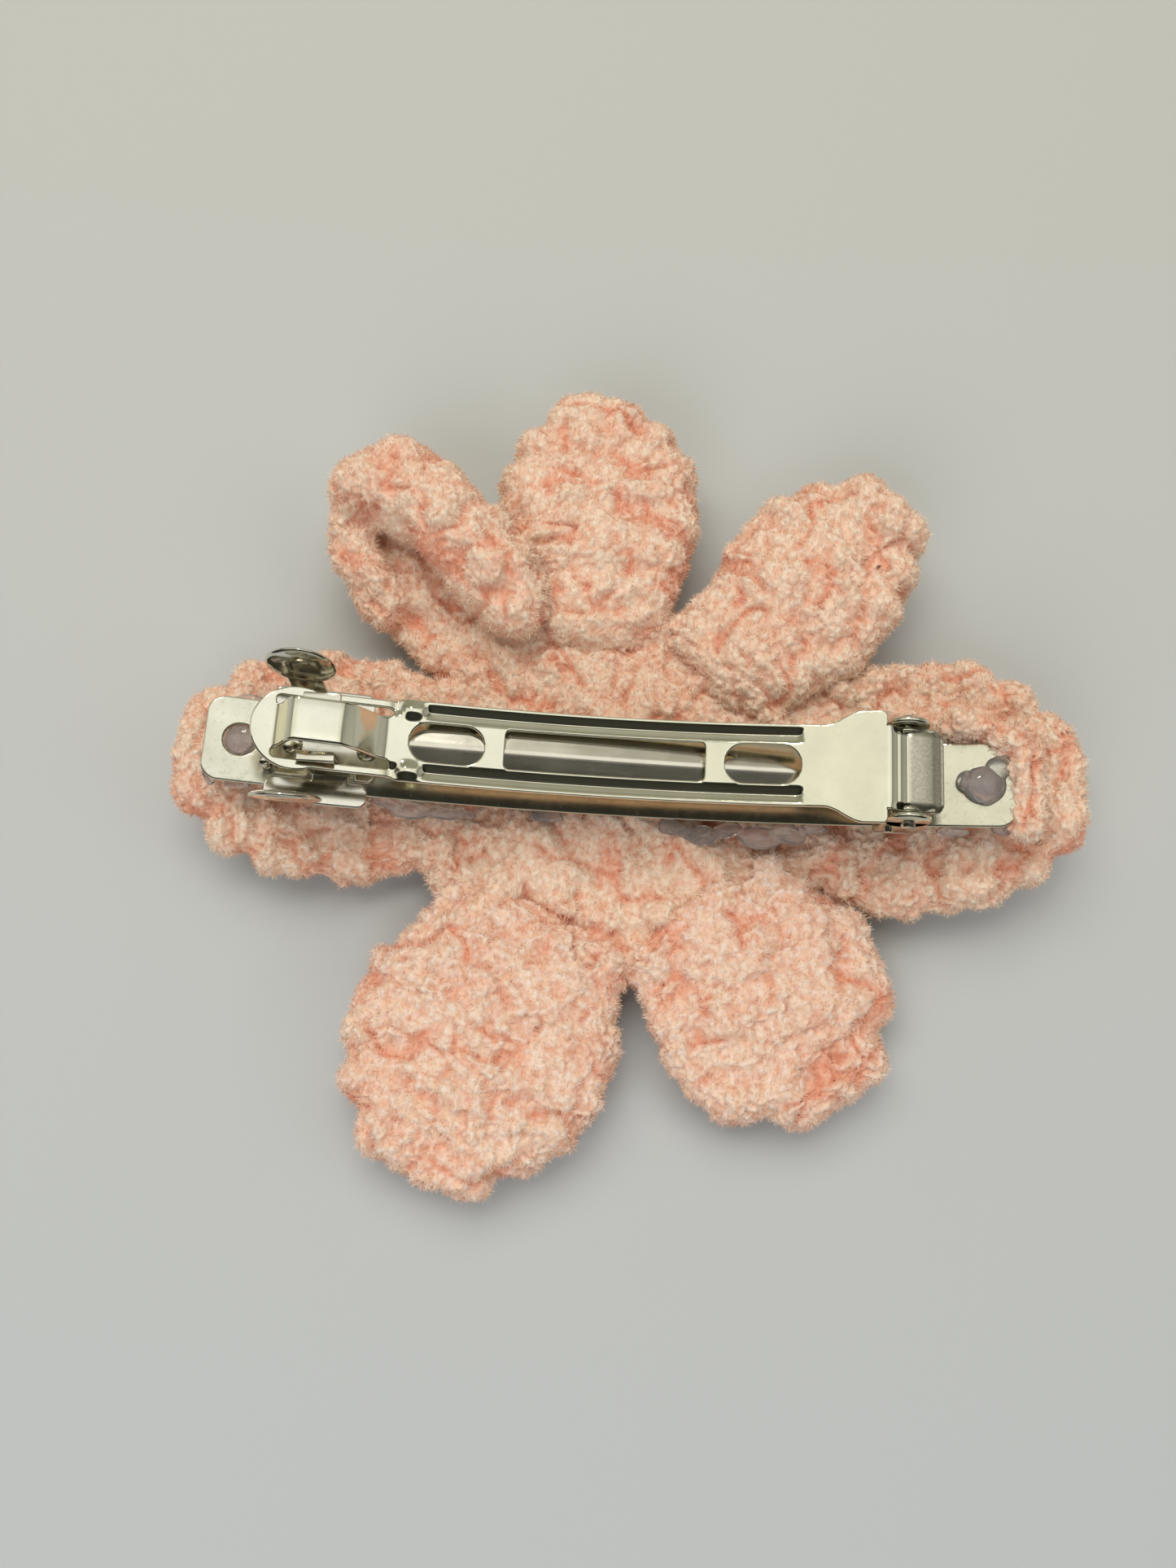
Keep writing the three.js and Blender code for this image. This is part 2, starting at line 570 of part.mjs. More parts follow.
// A plug with a domed head that spread over the pad round the hole.
function glueBlob(x) {
  const bottom = baseTop(x + GLUE_BLOB_RADIUS) + STACK_CLEARANCE;
  const dome = steps(0, 1, 5).map((t) => {
    const angle = (t * Math.PI) / 2;
    return new THREE.Vector2(GLUE_BLOB_RADIUS * Math.cos(angle), GLUE_BLOB_HEIGHT * Math.sin(angle));
  });
  dome[dome.length - 1].x = 0;
  const profile = [new THREE.Vector2(0, 0), ...dome];
  const geometry = new THREE.LatheGeometry(profile, 20).rotateX(Math.PI / 2).translate(x, 0, bottom);
  return gluePlug(x, 1).add(solidOf(geometry));
}

// ---- Flower ---------------------------------------------------------------------------------------------

// The hub, flat where it rests on the table and where the clip is glued to it, and rounded at its rim.
function flowerHub() {
  const bulge = steps(0, 1, 6).map((t) => {
    const angle = (t - 0.5) * Math.PI;
    const reach = HUB_RADIUS - HUB_FACE_RADIUS;
    const out = HUB_FACE_RADIUS + reach * Math.cos(angle);
    return new THREE.Vector2(out, (HUB_THICKNESS / 2) * (1 + Math.sin(angle)));
  });
  const profile = [new THREE.Vector2(0, 0), ...bulge, new THREE.Vector2(0, HUB_THICKNESS)];
  return solidOf(new THREE.LatheGeometry(profile, 32).rotateX(Math.PI / 2));
}

function petalHalfWidth(petal, t) {
  if (t < PETAL_WIDEST) {
    return THREE.MathUtils.lerp(petal.rootWidth, petal.width, smooth(t / PETAL_WIDEST)) / 2;
  }
  const past = (t - PETAL_WIDEST) / (1 - PETAL_WIDEST);
  return (petal.width / 2) * Math.sqrt(Math.max(0, 1 - past * past));
}

// A petal is lofted through oval sections from its root to its tip, where it closes.
function petalSolid(petal) {
  const heading = THREE.MathUtils.degToRad(petal.heading);
  const roll = THREE.MathUtils.degToRad(petal.roll ?? 0);
  const along = new THREE.Vector3(Math.cos(heading), Math.sin(heading), 0);
  const across = new THREE.Vector3(-Math.sin(heading), Math.cos(heading), 0).applyAxisAngle(along, roll);
  const up = new THREE.Vector3().crossVectors(along, across);
  const points = [];
  const stations = steps(0, 1, PETAL_STATIONS).map((t) => Math.sin((t * Math.PI) / 2));
  stations[stations.length - 1] = 0.992;
  const middle = (t) => {
    const z = THREE.MathUtils.lerp(petal.rootZ, petal.tipZ, t * t);
    const out = THREE.MathUtils.lerp(PETAL_ROOT_RADIUS, petal.reach, t);
    return new THREE.Vector3(0, 0, z).addScaledVector(along, out);
  };
  for (const t of stations) {
    const half = petalHalfWidth(petal, t);
    const thick = (petal.thickness / 2) * Math.min(1, 0.35 + 1.3 * (half / petal.width));
    for (let j = 0; j < PETAL_SIDES; j++) {
      const angle = (2 * Math.PI * j) / PETAL_SIDES;
      const oval = (v) => Math.sign(v) * Math.abs(v) ** PETAL_SQUARENESS;
      const point = middle(t).addScaledVector(across, half * oval(Math.cos(angle)));
      points.push(...point.addScaledVector(up, thick * oval(Math.sin(angle))).toArray());
    }
  }
  const rootCentre = points.length / 3;
  points.push(...middle(stations[0]).toArray(), ...middle(stations[stations.length - 1]).toArray());
  const faces = [];
  const at = (i, j) => i * PETAL_SIDES + (j % PETAL_SIDES);
  for (let j = 0; j < PETAL_SIDES; j++) {
    for (let i = 0; i < stations.length - 1; i++) {
      faces.push(at(i, j), at(i + 1, j + 1), at(i + 1, j), at(i, j), at(i, j + 1), at(i + 1, j + 1));
    }
    faces.push(rootCentre, at(0, j + 1), at(0, j));
    faces.push(rootCentre + 1, at(stations.length - 1, j), at(stations.length - 1, j + 1));
  }
  const geometry = new THREE.BufferGeometry();
  geometry.setAttribute("position", new THREE.Float32BufferAttribute(points, 3));
  geometry.setIndex(faces);
  return solidOf(geometry);
}

// The room that a petal takes, with the gap round it.
function grown(petal) {
  return {
    ...petal,
    reach: petal.reach + PETAL_GAP,
    width: petal.width + 2 * PETAL_GAP,
    rootWidth: petal.rootWidth + 2 * PETAL_GAP,
    thickness: petal.thickness + 2 * PETAL_GAP,
  };
}

// The space that the clip and its glue stand in, widened by a gap, which the soft petals give way to.
function clipRoom() {
  const end = BASE_LENGTH / 2 + UNDER_CLIP_GAP;
  const half = CHEEK_OUTER_Y + 1.6;
  const footprint = box(-end, end, -half, half, 0, CUT_HEIGHT);
  return above((x) => glueTop(x) - GLUE_THICKNESS - UNDER_CLIP_GAP).intersect(footprint);
}

// ---- Assembly -------------------------------------------------------------------------------------------

addNode("base_bar", baseBar(), METAL);
addNode("clasp_arm", claspArm(), METAL);
addNode("tension_bar", tensionBar(), SPRING_METAL);
addNode("latch_floor", latchFloor(), SPRING_METAL);
addNode("latch_cheek_front", latchCheek(SIDES.front), METAL);
addNode("latch_cheek_back", latchCheek(SIDES.back), METAL);
RIVET_XS.forEach((x, i) => addNode(`latch_rivet_${i + 1}`, latchRivet(x), METAL));
addNode("glue_bed", glueBed(), CLEAR_GLUE);
addNode("glue_plug_left", gluePlug(-BASE_LENGTH / 2 + PAD_HOLE_FROM_END, GLUE_PLUG_PROUD), CLEAR_GLUE);
addNode("glue_blob_right", glueBlob(BASE_LENGTH / 2 - PAD_HOLE_FROM_END), CLEAR_GLUE);

const hub = flowerHub();
addNode("flower_hub", hub, YARN);
const hubRoom = upright(HUB_RADIUS + PETAL_GAP, 0, 0, -CUT_HEIGHT, CUT_HEIGHT, 40);
const clip = clipRoom();
const laid = [];
for (const [name, petal] of Object.entries(PETALS)) {
  let solid = petalSolid(petal).subtract(hubRoom).subtract(clip);
  for (const over of laid) {
    solid = solid.subtract(petalSolid(grown(over)));
  }
  laid.push(petal);
  addNode(name, solid, YARN);
}

export default flower_clip;
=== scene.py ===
import json
import math
import random

import bmesh
import bpy
import numpy as np
from mathutils import Matrix, Vector


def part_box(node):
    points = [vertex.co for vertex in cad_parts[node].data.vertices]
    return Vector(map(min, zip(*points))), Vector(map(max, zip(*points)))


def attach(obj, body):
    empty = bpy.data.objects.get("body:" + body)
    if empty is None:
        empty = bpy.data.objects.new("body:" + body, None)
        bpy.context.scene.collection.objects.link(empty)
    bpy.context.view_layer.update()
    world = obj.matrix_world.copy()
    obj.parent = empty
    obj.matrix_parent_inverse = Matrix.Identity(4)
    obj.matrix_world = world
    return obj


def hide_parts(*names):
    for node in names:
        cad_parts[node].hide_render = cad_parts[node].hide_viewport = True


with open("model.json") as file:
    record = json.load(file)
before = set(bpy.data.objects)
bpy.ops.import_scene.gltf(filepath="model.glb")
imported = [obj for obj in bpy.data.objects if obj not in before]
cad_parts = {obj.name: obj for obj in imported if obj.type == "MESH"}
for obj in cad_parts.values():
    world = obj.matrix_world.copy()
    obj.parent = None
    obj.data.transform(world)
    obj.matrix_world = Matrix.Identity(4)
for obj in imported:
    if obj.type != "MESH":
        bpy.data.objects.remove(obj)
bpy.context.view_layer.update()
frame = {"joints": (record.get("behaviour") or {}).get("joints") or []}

MM = 0.001


# ---- Base bar ------------------------------------------------------------------------------------
# The strip that the flower is glued to: steel 0.6 mm thick, stamped, arched with rising ends, nickel plated.
# It has a hole in each end pad and two ears folded up beside the hinge.

def rounded_box(x, y, x0, x1, y0, y1, radius):
    """Signed distance in plan to a rectangle with round corners, negative inside."""
    dx = np.abs(x - (x0 + x1) / 2) - (x1 - x0) / 2 + radius
    dy = np.abs(y - (y0 + y1) / 2) - (y1 - y0) / 2 + radius
    outside = np.hypot(np.maximum(dx, 0), np.maximum(dy, 0))
    return outside + np.minimum(np.maximum(dx, dy), 0) - radius


def disc(x, y, cx, cy, radius):
    """Signed distance in plan to a disc, negative inside."""
    return np.hypot(x - cx, y - cy) - radius


def step(t):
    """A smooth rise from 0 to 1 as t does the same."""
    t = np.clip(t, 0, 1)
    return t * t * (3 - 2 * t)


def arch(x, radius):
    """How far an arched bar has risen at x from its lowest point, which is in its middle."""
    return radius - np.sqrt(radius * radius - x * x)


def mesh_object(name, points, faces):
    """A piece whose mesh holds its place in the frame. points are in millimetres."""
    mesh = bpy.data.meshes.new(name)
    mesh.from_pydata((np.asarray(points, float) * MM).tolist(), [], faces)
    mesh.validate()
    mesh.polygons.foreach_set("use_smooth", [True] * len(mesh.polygons))
    piece = bpy.data.objects.new(name, mesh)
    bpy.context.scene.collection.objects.link(piece)
    return piece


def stamping(plan, height, x_range, y_range, thickness, cell=0.25, edge=0.14):
    """Points and faces of a stamped sheet with rounded edges: where plan(x, y) < 0, at z = height(x, y)."""
    xs = np.arange(x_range[0], x_range[1] + cell, cell)
    ys = np.arange(y_range[0], y_range[1] + cell, cell)
    gx, gy = np.meshgrid(xs, ys, indexing="ij")
    field = plan(gx, gy) + edge
    index, flat, faces = {}, [], []

    def corner(i, j):
        key = (i, j)
        if key not in index:
            index[key] = len(flat)
            flat.append((xs[i], ys[j]))
        return index[key]

    def crossing(a, b):
        key = (min(a, b), max(a, b))
        if key not in index:
            fa, fb = field[key[0]], field[key[1]]
            t = min(max(fa / (fa - fb), 0.1), 0.9)
            pa = np.array((xs[key[0][0]], ys[key[0][1]]))
            pb = np.array((xs[key[1][0]], ys[key[1][1]]))
            index[key] = len(flat)
            flat.append(tuple(pa + (pb - pa) * t))
        return index[key]

    inside = field < 0
    for i in range(len(xs) - 1):
        for j in range(len(ys) - 1):
            ring = [(i, j), (i + 1, j), (i + 1, j + 1), (i, j + 1)]
            held = [inside[c] for c in ring]
            if not any(held):
                continue
            face = []
            for k in range(4):
                here, after = ring[k], ring[(k + 1) % 4]
                if held[k]:
                    face.append(corner(*here))
                if held[k] != held[(k + 1) % 4]:
                    face.append(crossing(here, after))
            faces.append(face)
    flat = np.array(flat)
    edges = {(f[k], f[(k + 1) % len(f)]) for f in faces for k in range(len(f))}
    rim = [(a, b) for a, b in edges if (b, a) not in edges]
    tiny = 0.01

    def placed(x, y, s):
        z = height(x, y)
        nx = -(height(x + tiny, y) - height(x - tiny, y)) / (2 * tiny)
        ny = -(height(x, y + tiny) - height(x, y - tiny)) / (2 * tiny)
        long = np.sqrt(nx * nx + ny * ny + 1)
        return np.stack([x + s * nx / long, y + s * ny / long, z + s / long], -1)

    half = thickness / 2
    x, y = flat[:, 0], flat[:, 1]
    count = len(flat)
    points = [placed(x, y, np.full(count, half)), placed(x, y, np.full(count, -half))]
    out = [list(f) for f in faces] + [[v + count for v in reversed(f)] for f in faces]
    on_rim = sorted({v for e in rim for v in e})
    where = {v: k for k, v in enumerate(on_rim)}
    rx, ry = x[on_rim], y[on_rim]
    ox = plan(rx + tiny, ry) - plan(rx - tiny, ry)
    oy = plan(rx, ry + tiny) - plan(rx, ry - tiny)
    size = np.maximum(np.hypot(ox, oy), 1e-9)
    ox, oy = ox / size, oy / size
    turns = [(math.sin(a), math.cos(a)) for a in (math.pi / 6, math.pi / 3, math.pi / 2)]
    profile = [(edge * s, half - edge * (1 - c)) for s, c in turns]
    profile += [(o, -s) for o, s in reversed(profile)]
    rings = [list(on_rim)]
    start = 2 * count
    for off, s in profile:
        points.append(placed(rx + ox * off, ry + oy * off, np.full(len(rx), s)))
        rings.append(list(range(start, start + len(rx))))
        start += len(rx)
    rings.append([v + count for v in on_rim])
    for a, b in rim:
        for upper, lower in zip(rings, rings[1:]):
            out.append([upper[where[b]], upper[where[a]], lower[where[a]], lower[where[b]]])
    return np.concatenate(points), out


def block(x0, x1, y0, y1, z0, z1, soft=0.12, turn=None, about=(0, 0, 0)):
    """Points and faces of a bar with rounded edges, turned by a matrix about a point."""
    mesh = bmesh.new()
    bmesh.ops.create_cube(mesh, size=1)
    for v in mesh.verts:
        v.co = Vector((
            (x0 + x1) / 2 + v.co.x * (x1 - x0),
            (y0 + y1) / 2 + v.co.y * (y1 - y0),
            (z0 + z1) / 2 + v.co.z * (z1 - z0),
        ))
    bmesh.ops.bevel(mesh, geom=mesh.edges[:], offset=soft, segments=3, profile=0.5, affect="EDGES")
    return harvest(mesh, turn, about)


def lathe(profile, turn=None, about=(0, 0, 0), sides=48):
    """Points and faces of a turned piece: profile lists (radius, height), from the axis back to the axis."""
    mesh = bmesh.new()
    rings = []
    for r, h in profile:
        if r < 1e-6:
            rings.append([mesh.verts.new((0, 0, h))])
        else:
            turns = [2 * math.pi * k / sides for k in range(sides)]
            rings.append([mesh.verts.new((r * math.cos(a), r * math.sin(a), h)) for a in turns])
    for low, high in zip(rings, rings[1:]):
        for k in range(sides):
            n = (k + 1) % sides
            if len(low) == 1:
                mesh.faces.new((low[0], high[n], high[k]))
            elif len(high) == 1:
                mesh.faces.new((low[k], low[n], high[0]))
            else:
                mesh.faces.new((low[k], low[n], high[n], high[k]))
    bmesh.ops.recalc_face_normals(mesh, faces=mesh.faces[:])
    return harvest(mesh, turn, about)


def harvest(mesh, turn, about):
    """The points and faces of a bmesh that was built about the origin, turned and put in its place."""
    move = Matrix.Translation(Vector(about)) @ (turn.to_4x4() if turn else Matrix.Identity(4))
    mesh.transform(move)
    mesh.verts.index_update()
    points = [v.co[:] for v in mesh.verts]
    faces = [[v.index for v in f.verts] for f in mesh.faces]
    mesh.free()
    return np.array(points), faces


def joined(name, *shells):
    """One piece made of several closed shells, such as a stamped sheet and the ears welded to it."""
    points, faces, start = [], [], 0
    for shell_points, shell_faces in shells:
        points.append(np.asarray(shell_points))
        faces += [[v + start for v in f] for f in shell_faces]
        start += len(shell_points)
    return mesh_object(name, np.concatenate(points), faces)


base_low, base_high = (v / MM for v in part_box("base_bar"))
BASE_SHEET = 0.6
BASE_ARCH = 150
BASE_HALF = 4.3
BASE_CORNER = 1.7
BASE_CROWN = 0.55
base_z = base_low.z + BASE_SHEET / 2
HINGE = Vector(frame["joints"][0]["pos_m"]) / MM
TENSION_PIN = Vector(frame["joints"][1]["pos_m"]) / MM
HOLE = 1.6
HOLE_X = base_high.x - 3.3
EAR_RADIUS = 2.2
EAR_HALF_SHEET = 0.3
EAR_Y = 4.7


def base_plan(x, y):
    strip = rounded_box(x, y, base_low.x, base_high.x, -BASE_HALF, BASE_HALF, BASE_CORNER)
    ears = rounded_box(x, y, HINGE.x - 2, HINGE.x + 2, -EAR_Y - 0.25, EAR_Y + 0.25, 0.3)
    plan = np.minimum(strip, ears)
    for hx in (-HOLE_X, HOLE_X):
        plan = np.maximum(plan, -disc(x, y, hx, 0, HOLE))
    return plan


def base_height(x, y):
    inner = np.exp(-((np.abs(x) / 31.5) ** 10))
    crown = 0.25 - BASE_CROWN * (y / BASE_HALF) ** 2
    return base_z + arch(x, BASE_ARCH) + crown * inner


def ear(side):
    """One ear: a disc on a short neck, in the plane beside the arm's flange."""
    outward = Matrix.Rotation(-side * math.pi / 2, 3, "X")
    r, t = EAR_RADIUS, EAR_HALF_SHEET
    profile = [(0, -t), (r - 0.2, -t), (r - 0.05, -t + 0.08), (r, -t + 0.22)]
    profile += [(r, t - 0.22), (r - 0.05, t - 0.08), (r - 0.2, t), (0, t)]
    y = side * EAR_Y
    foot = base_z + float(arch(HINGE.x - r, BASE_ARCH)) + 0.7
    return [
        lathe(profile, outward, (HINGE.x, y, HINGE.z)),
        block(HINGE.x - 2.15, HINGE.x + 2.15, y - t, y + t, foot, HINGE.z, 0.14),
    ]


base_shells = [stamping(base_plan, base_height, (-41, 41), (-6, 6), BASE_SHEET)]
for side in (-1, 1):
    base_shells += ear(side)
base_bar = joined("plated_base_bar", *base_shells)


def put_node(tree, kind, settings, inputs):
    """A node in a tree: its own settings first, then the values or links of its sockets."""
    node = tree.nodes.new(kind)
    for name, value in settings.items():
        if name == "stops":
            while len(node.color_ramp.elements) < len(value):
                node.color_ramp.elements.new(0.5)
            for element, (place, colour) in zip(node.color_ramp.elements, value):
                element.position, element.color = place, colour
        else:
            setattr(node, name, value)
    for name, value in inputs.items():
        source = getattr(value, "socket", value)
        if isinstance(source, bpy.types.NodeSocket):
            tree.links.new(source, node.inputs[name])
        else:
            node.inputs[name].default_value = source
    return node


class Value:
    """What a shader node gives, so that maths on it reads as arithmetic."""

    def __init__(self, tree, socket):
        self.tree, self.socket = tree, socket

    def maths(self, operation, first, second):
        node = put_node(self.tree, "ShaderNodeMath", {"operation": operation}, {0: first, 1: second})
        return Value(self.tree, node.outputs[0])

    def __add__(self, other):
        return self.maths("ADD", self, other)

    def __sub__(self, other):
        return self.maths("SUBTRACT", self, other)

    def __rsub__(self, other):
        return self.maths("SUBTRACT", other, self)

    def __mul__(self, other):
        return self.maths("MULTIPLY", self, other)

    def clamp(self):
        return Value(self.tree, put_node(self.tree, "ShaderNodeClamp", {}, {0: self}).outputs[0])

    __radd__ = __add__
    __rmul__ = __mul__


class Finish:
    """A material whose patterns are laid in the piece's own coordinates."""

    def __init__(self, name, **surface):
        self.material = bpy.data.materials.new(name)
        self.material.use_nodes = True
        self.tree = self.material.node_tree
        self.surface = self.tree.nodes["Principled BSDF"]
        for label, value in surface.items():
            self.surface.inputs[label.replace("_", " ")].default_value = value
        self.place = self.node("ShaderNodeTexCoord", {}, {}, "Object")

    def node(self, kind, settings, inputs, output=0):
        return Value(self.tree, put_node(self.tree, kind, settings, inputs).outputs[output])

    def noise(self, scale, detail=2, stretch=(1, 1, 1), rough=0.5):
        spread = self.node("ShaderNodeMapping", {}, {"Vector": self.place, "Scale": stretch})
        sockets = {"Vector": spread, "Scale": scale, "Detail": detail, "Roughness": rough}
        return self.node("ShaderNodeTexNoise", {}, sockets, "Fac")

    def coordinate(self, axis):
        return self.node("ShaderNodeSeparateXYZ", {}, {0: self.place}, axis)

    def cells(self, scale, wander):
        """Distance from the middle of a small uneven cell, about 0.7 at its edge."""
        sockets = {"Vector": self.place, "Scale": scale * 0.5, "Detail": 1}
        drift = self.node("ShaderNodeTexNoise", {}, sockets, "Color")
        sockets = {0: drift, 1: (wander, wander, wander), 2: self.place}
        moved = self.node("ShaderNodeVectorMath", {"operation": "MULTIPLY_ADD"}, sockets)
        return self.node("ShaderNodeTexVoronoi", {}, {"Vector": moved, "Scale": scale}, "Distance")

    def attribute(self, name):
        return self.node("ShaderNodeAttribute", {"attribute_name": name}, {}, "Fac")

    def mix(self, share, a, b):
        """The colour that goes from a to b as share goes from 0 to 1."""
        first, second = ((*c, 1) if isinstance(c, tuple) else c for c in (a, b))
        return self.node("ShaderNodeMix", {"data_type": "RGBA"}, {0: share, 6: first, 7: second}, 2)

    def drive(self, name, value):
        self.tree.links.new(value.socket, self.surface.inputs[name])

    def bump(self, height, distance, strength=1.0):
        sockets = {"Height": height, "Distance": distance, "Strength": strength}
        self.drive("Normal", self.node("ShaderNodeBump", {}, sockets))


def nickel(name, tint, rough, scratch_direction, wear=1.0, brushed_and_shaded_from=None):
    """Bright nickel plate: warm, with fine polishing scratches along one axis and soft handling marks. Beyond
    the x that the last argument gives, in metres, it is rougher with a fine grain from brushing, and its
    colour is painted darker there as painted shade."""
    finish = Finish(name, Metallic=1.0)
    stretch = [1400.0, 1400.0, 1400.0]
    stretch[scratch_direction] = 40.0
    scratches = finish.noise(1.0, 3, stretch)
    haze = finish.noise(260.0, 3)
    marks = (finish.noise(1900.0, 2, (1, 1, 1), 0.7) - 0.55).clamp() * 1.6
    dulled = tuple(c * (1 - 0.14 * wear) for c in tint)
    colour = finish.mix((haze * 1.6 - 0.35 + marks * -0.8 * wear).clamp(), dulled, tint)
    roughness = scratches * 0.07 * wear + haze * 0.05 + marks * 0.12 * wear + (rough - 0.05)
    # Painted shade: beyond this x the plate's colour is mixed to a darker grainy tint, and it is rougher.
    if brushed_and_shaded_from is not None:
        share = ((finish.coordinate("X") - brushed_and_shaded_from) * 2500.0).clamp()
        sparkle = (finish.noise(4600.0, 2) * 2.4 - 0.95).clamp()
        brushed_and_shaded = finish.mix(sparkle, (0.46, 0.43, 0.34), (0.66, 0.63, 0.52))
        colour = finish.mix(share, colour, brushed_and_shaded)
        roughness = roughness + share * 0.24
    finish.drive("Base Color", colour)
    finish.drive("Roughness", roughness.clamp())
    finish.bump(scratches * 0.6 + haze * 1.2, 0.000004 * wear)
    return finish.material


PLATE = (0.83, 0.81, 0.66)
ACROSS, ALONG = 1, 0
base_bar.data.materials.append(nickel("base nickel", PLATE, 0.16, ACROSS, 1.8))
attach(base_bar, "base")
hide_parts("base_bar")


# ---- Clasp arm -----------------------------------------------------------------------------------
# The bar that closes over the hair, stamped from half-millimetre steel: a round tongue, a bridge pushed up
# between two slits, a groove along each side, three windows, a flared shoulder and the heel that turns between
# the ears.

ARM_SHEET = 0.5
ARM_ARCH = 125
SHOULDER_X = HINGE.x - EAR_RADIUS - 0.1
arm_z = HINGE.z + 1.5 - float(arch(SHOULDER_X, ARM_ARCH))
ARM_HALF = 4.1
TONGUE_NARROWER = 0.3
FLARE = 1.45
WINDOW_HALF = 1.95
SLIT = (2.1, 3.05)
GROOVE_Y = 2.98
GROOVE_DEPTH = 0.42
DART_X = -19.5
BRIDGE_X = -31.9
BRIDGE_END = -21.4
BRIDGE_HALF = 2.57
BRIDGE_RISE = 3.6
BRIDGE_WALL = 2.8
TONGUE_X = -29.9
HEEL_END = HINGE.x + 3.4
HEEL_HALF = 4.15
HEEL_Z = HINGE.z + 0.95


def arm_mid(x):
    return arm_z + arch(x, ARM_ARCH)


def arm_plan(x, y):
    narrow = ARM_HALF - TONGUE_NARROWER * step((BRIDGE_END + 1.4 - x) / 1.2)
    body = np.maximum(np.abs(y) - narrow, np.maximum(TONGUE_X - x, x - SHOULDER_X + 1))
    tongue = disc(x, y, TONGUE_X, 0, ARM_HALF)
    flare = ARM_HALF + FLARE * step((x - (SHOULDER_X - 5.8)) / 3.6)
    shoulder = np.maximum(np.abs(y) - flare, np.maximum(SHOULDER_X - 6 - x, x - SHOULDER_X))
    heel = rounded_box(x, y, SHOULDER_X - 1, HEEL_END, -HEEL_HALF, HEEL_HALF, 1.1)
    plan = np.minimum(np.minimum(np.minimum(body, tongue), shoulder), heel)
    windows = [
        rounded_box(x, y, -19.5, -12.3, -WINDOW_HALF, WINDOW_HALF, WINDOW_HALF - 0.02),
        rounded_box(x, y, -10.35, 9.15, -WINDOW_HALF, WINDOW_HALF, 0.55),
        rounded_box(x, y, 11.05, 18.35, -WINDOW_HALF, WINDOW_HALF, WINDOW_HALF - 0.02),
        rounded_box(x, y, BRIDGE_X, BRIDGE_END + 0.2, *SLIT, 0.4),
        rounded_box(x, -y, BRIDGE_X, BRIDGE_END + 0.2, *SLIT, 0.4),
    ]
    for window in windows:
        plan = np.maximum(plan, -window)
    return plan


def arm_height(x, y):
    """The middle of the sheet: the bar with its grooves, darts and bridge, then the step down to the heel."""
    side = np.abs(y)
    run = step((x + 18.6) / 0.9) * step((18.9 - x) / 0.9)
    groove = -GROOVE_DEPTH * np.clip(1 - np.sqrt((side - GROOVE_Y) ** 2 + 0.004) / 0.88, 0, 1) * run
    dart = 0.34 * np.exp(-(((x - DART_X) / np.where(x > DART_X, 1.3, 0.7)) ** 2))
    dart *= np.exp(-(((side - 3.0) / 0.7) ** 2))
    hollow = -0.3 * np.exp(-(((x + 20.9) / 0.7) ** 2)) * step((side - 2.2) / 0.8)
    middle = side < BRIDGE_HALF
    wall = step((x - BRIDGE_X) / BRIDGE_WALL)
    bridge = BRIDGE_RISE * np.minimum(wall, step((BRIDGE_END - x) / 4.0)) * middle
    bridge += 0.12 * np.cos(y * 0.75) * wall * step((BRIDGE_END - x) / 2) * middle
    heel = step((x - SHOULDER_X) / 1.3)
    crown = -0.3 * step((x - HINGE.x - 1.0) / 2.2) - 0.35 * step((x - HINGE.x - 2.1) / 1.0)
    crown -= 0.25 * step((side - 3.2) / 1.0)
    bead = 0.2 * np.exp(-(((x - SHOULDER_X - 1.2) / 0.35) ** 2))
    bead -= 0.12 * np.exp(-(((x - SHOULDER_X - 2.0) / 0.3) ** 2))
    bar = arm_mid(x) + groove + dart + hollow + bridge
    return bar * (1 - heel) + (HEEL_Z + bead + crown) * heel


arm_shells = [stamping(arm_plan, arm_height, (-35, 33), (-6, 6), ARM_SHEET, 0.2)]
for side in (-1, 1):
    t = ARM_SHEET / 2
    y = side * (HEEL_HALF - t)
    outward = Matrix.Rotation(-side * math.pi / 2, 3, "X")
    arm_shells.append(block(SHOULDER_X + 1.3, HEEL_END - 1, y - t, y + t, HEEL_Z - 1, HEEL_Z, 0.12))
    knuckle = [(0, -t), (1.2, -t), (1.3, -0.15), (1.3, 0.15), (1.2, t), (0, t)]
    arm_shells.append(lathe(knuckle, outward, (HINGE.x, y, HINGE.z)))
    lug = [(0, 0), (0.7, 0), (0.7, 1.5), (0.62, 1.58), (0, 1.6)]
    arm_shells.append(lathe(lug, outward, (HINGE.x, side * 4.0, HINGE.z)))
clasp_arm = joined("plated_clasp_arm", *arm_shells)
# The heel beyond here is rougher with a brushing grain, and its colour is painted darker as painted shade.
heel_from = (SHOULDER_X + 2.0) * MM
clasp_arm.data.materials.append(nickel("arm nickel", PLATE, 0.09, ACROSS, brushed_and_shaded_from=heel_from))
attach(clasp_arm, "arm")
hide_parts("clasp_arm")


# ---- Tension bar ---------------------------------------------------------------------------------
# The thin strip under the arm that bows against the hair: spring steel creased down its middle, with its tail
# rolled round a pin that turns in the same two ears.

TENSION_SHEET = 0.35
TENSION_HALF = 2.7
TENSION_START = -20.0
TENSION_CREASE = 0.48
TENSION_BOW = 1.0
BARREL_RADIUS = 0.7
BARREL_HALF = 3.4
PIN_RADIUS = 0.45
PIN_HALF = 5.6
start_z = float(arm_mid(TENSION_START)) - 0.9
finish_z = TENSION_PIN.z + BARREL_RADIUS - TENSION_SHEET / 2


def tension_plan(x, y):
    return rounded_box(x, y, TENSION_START, TENSION_PIN.x + 1.0, -TENSION_HALF, TENSION_HALF, 2.4)


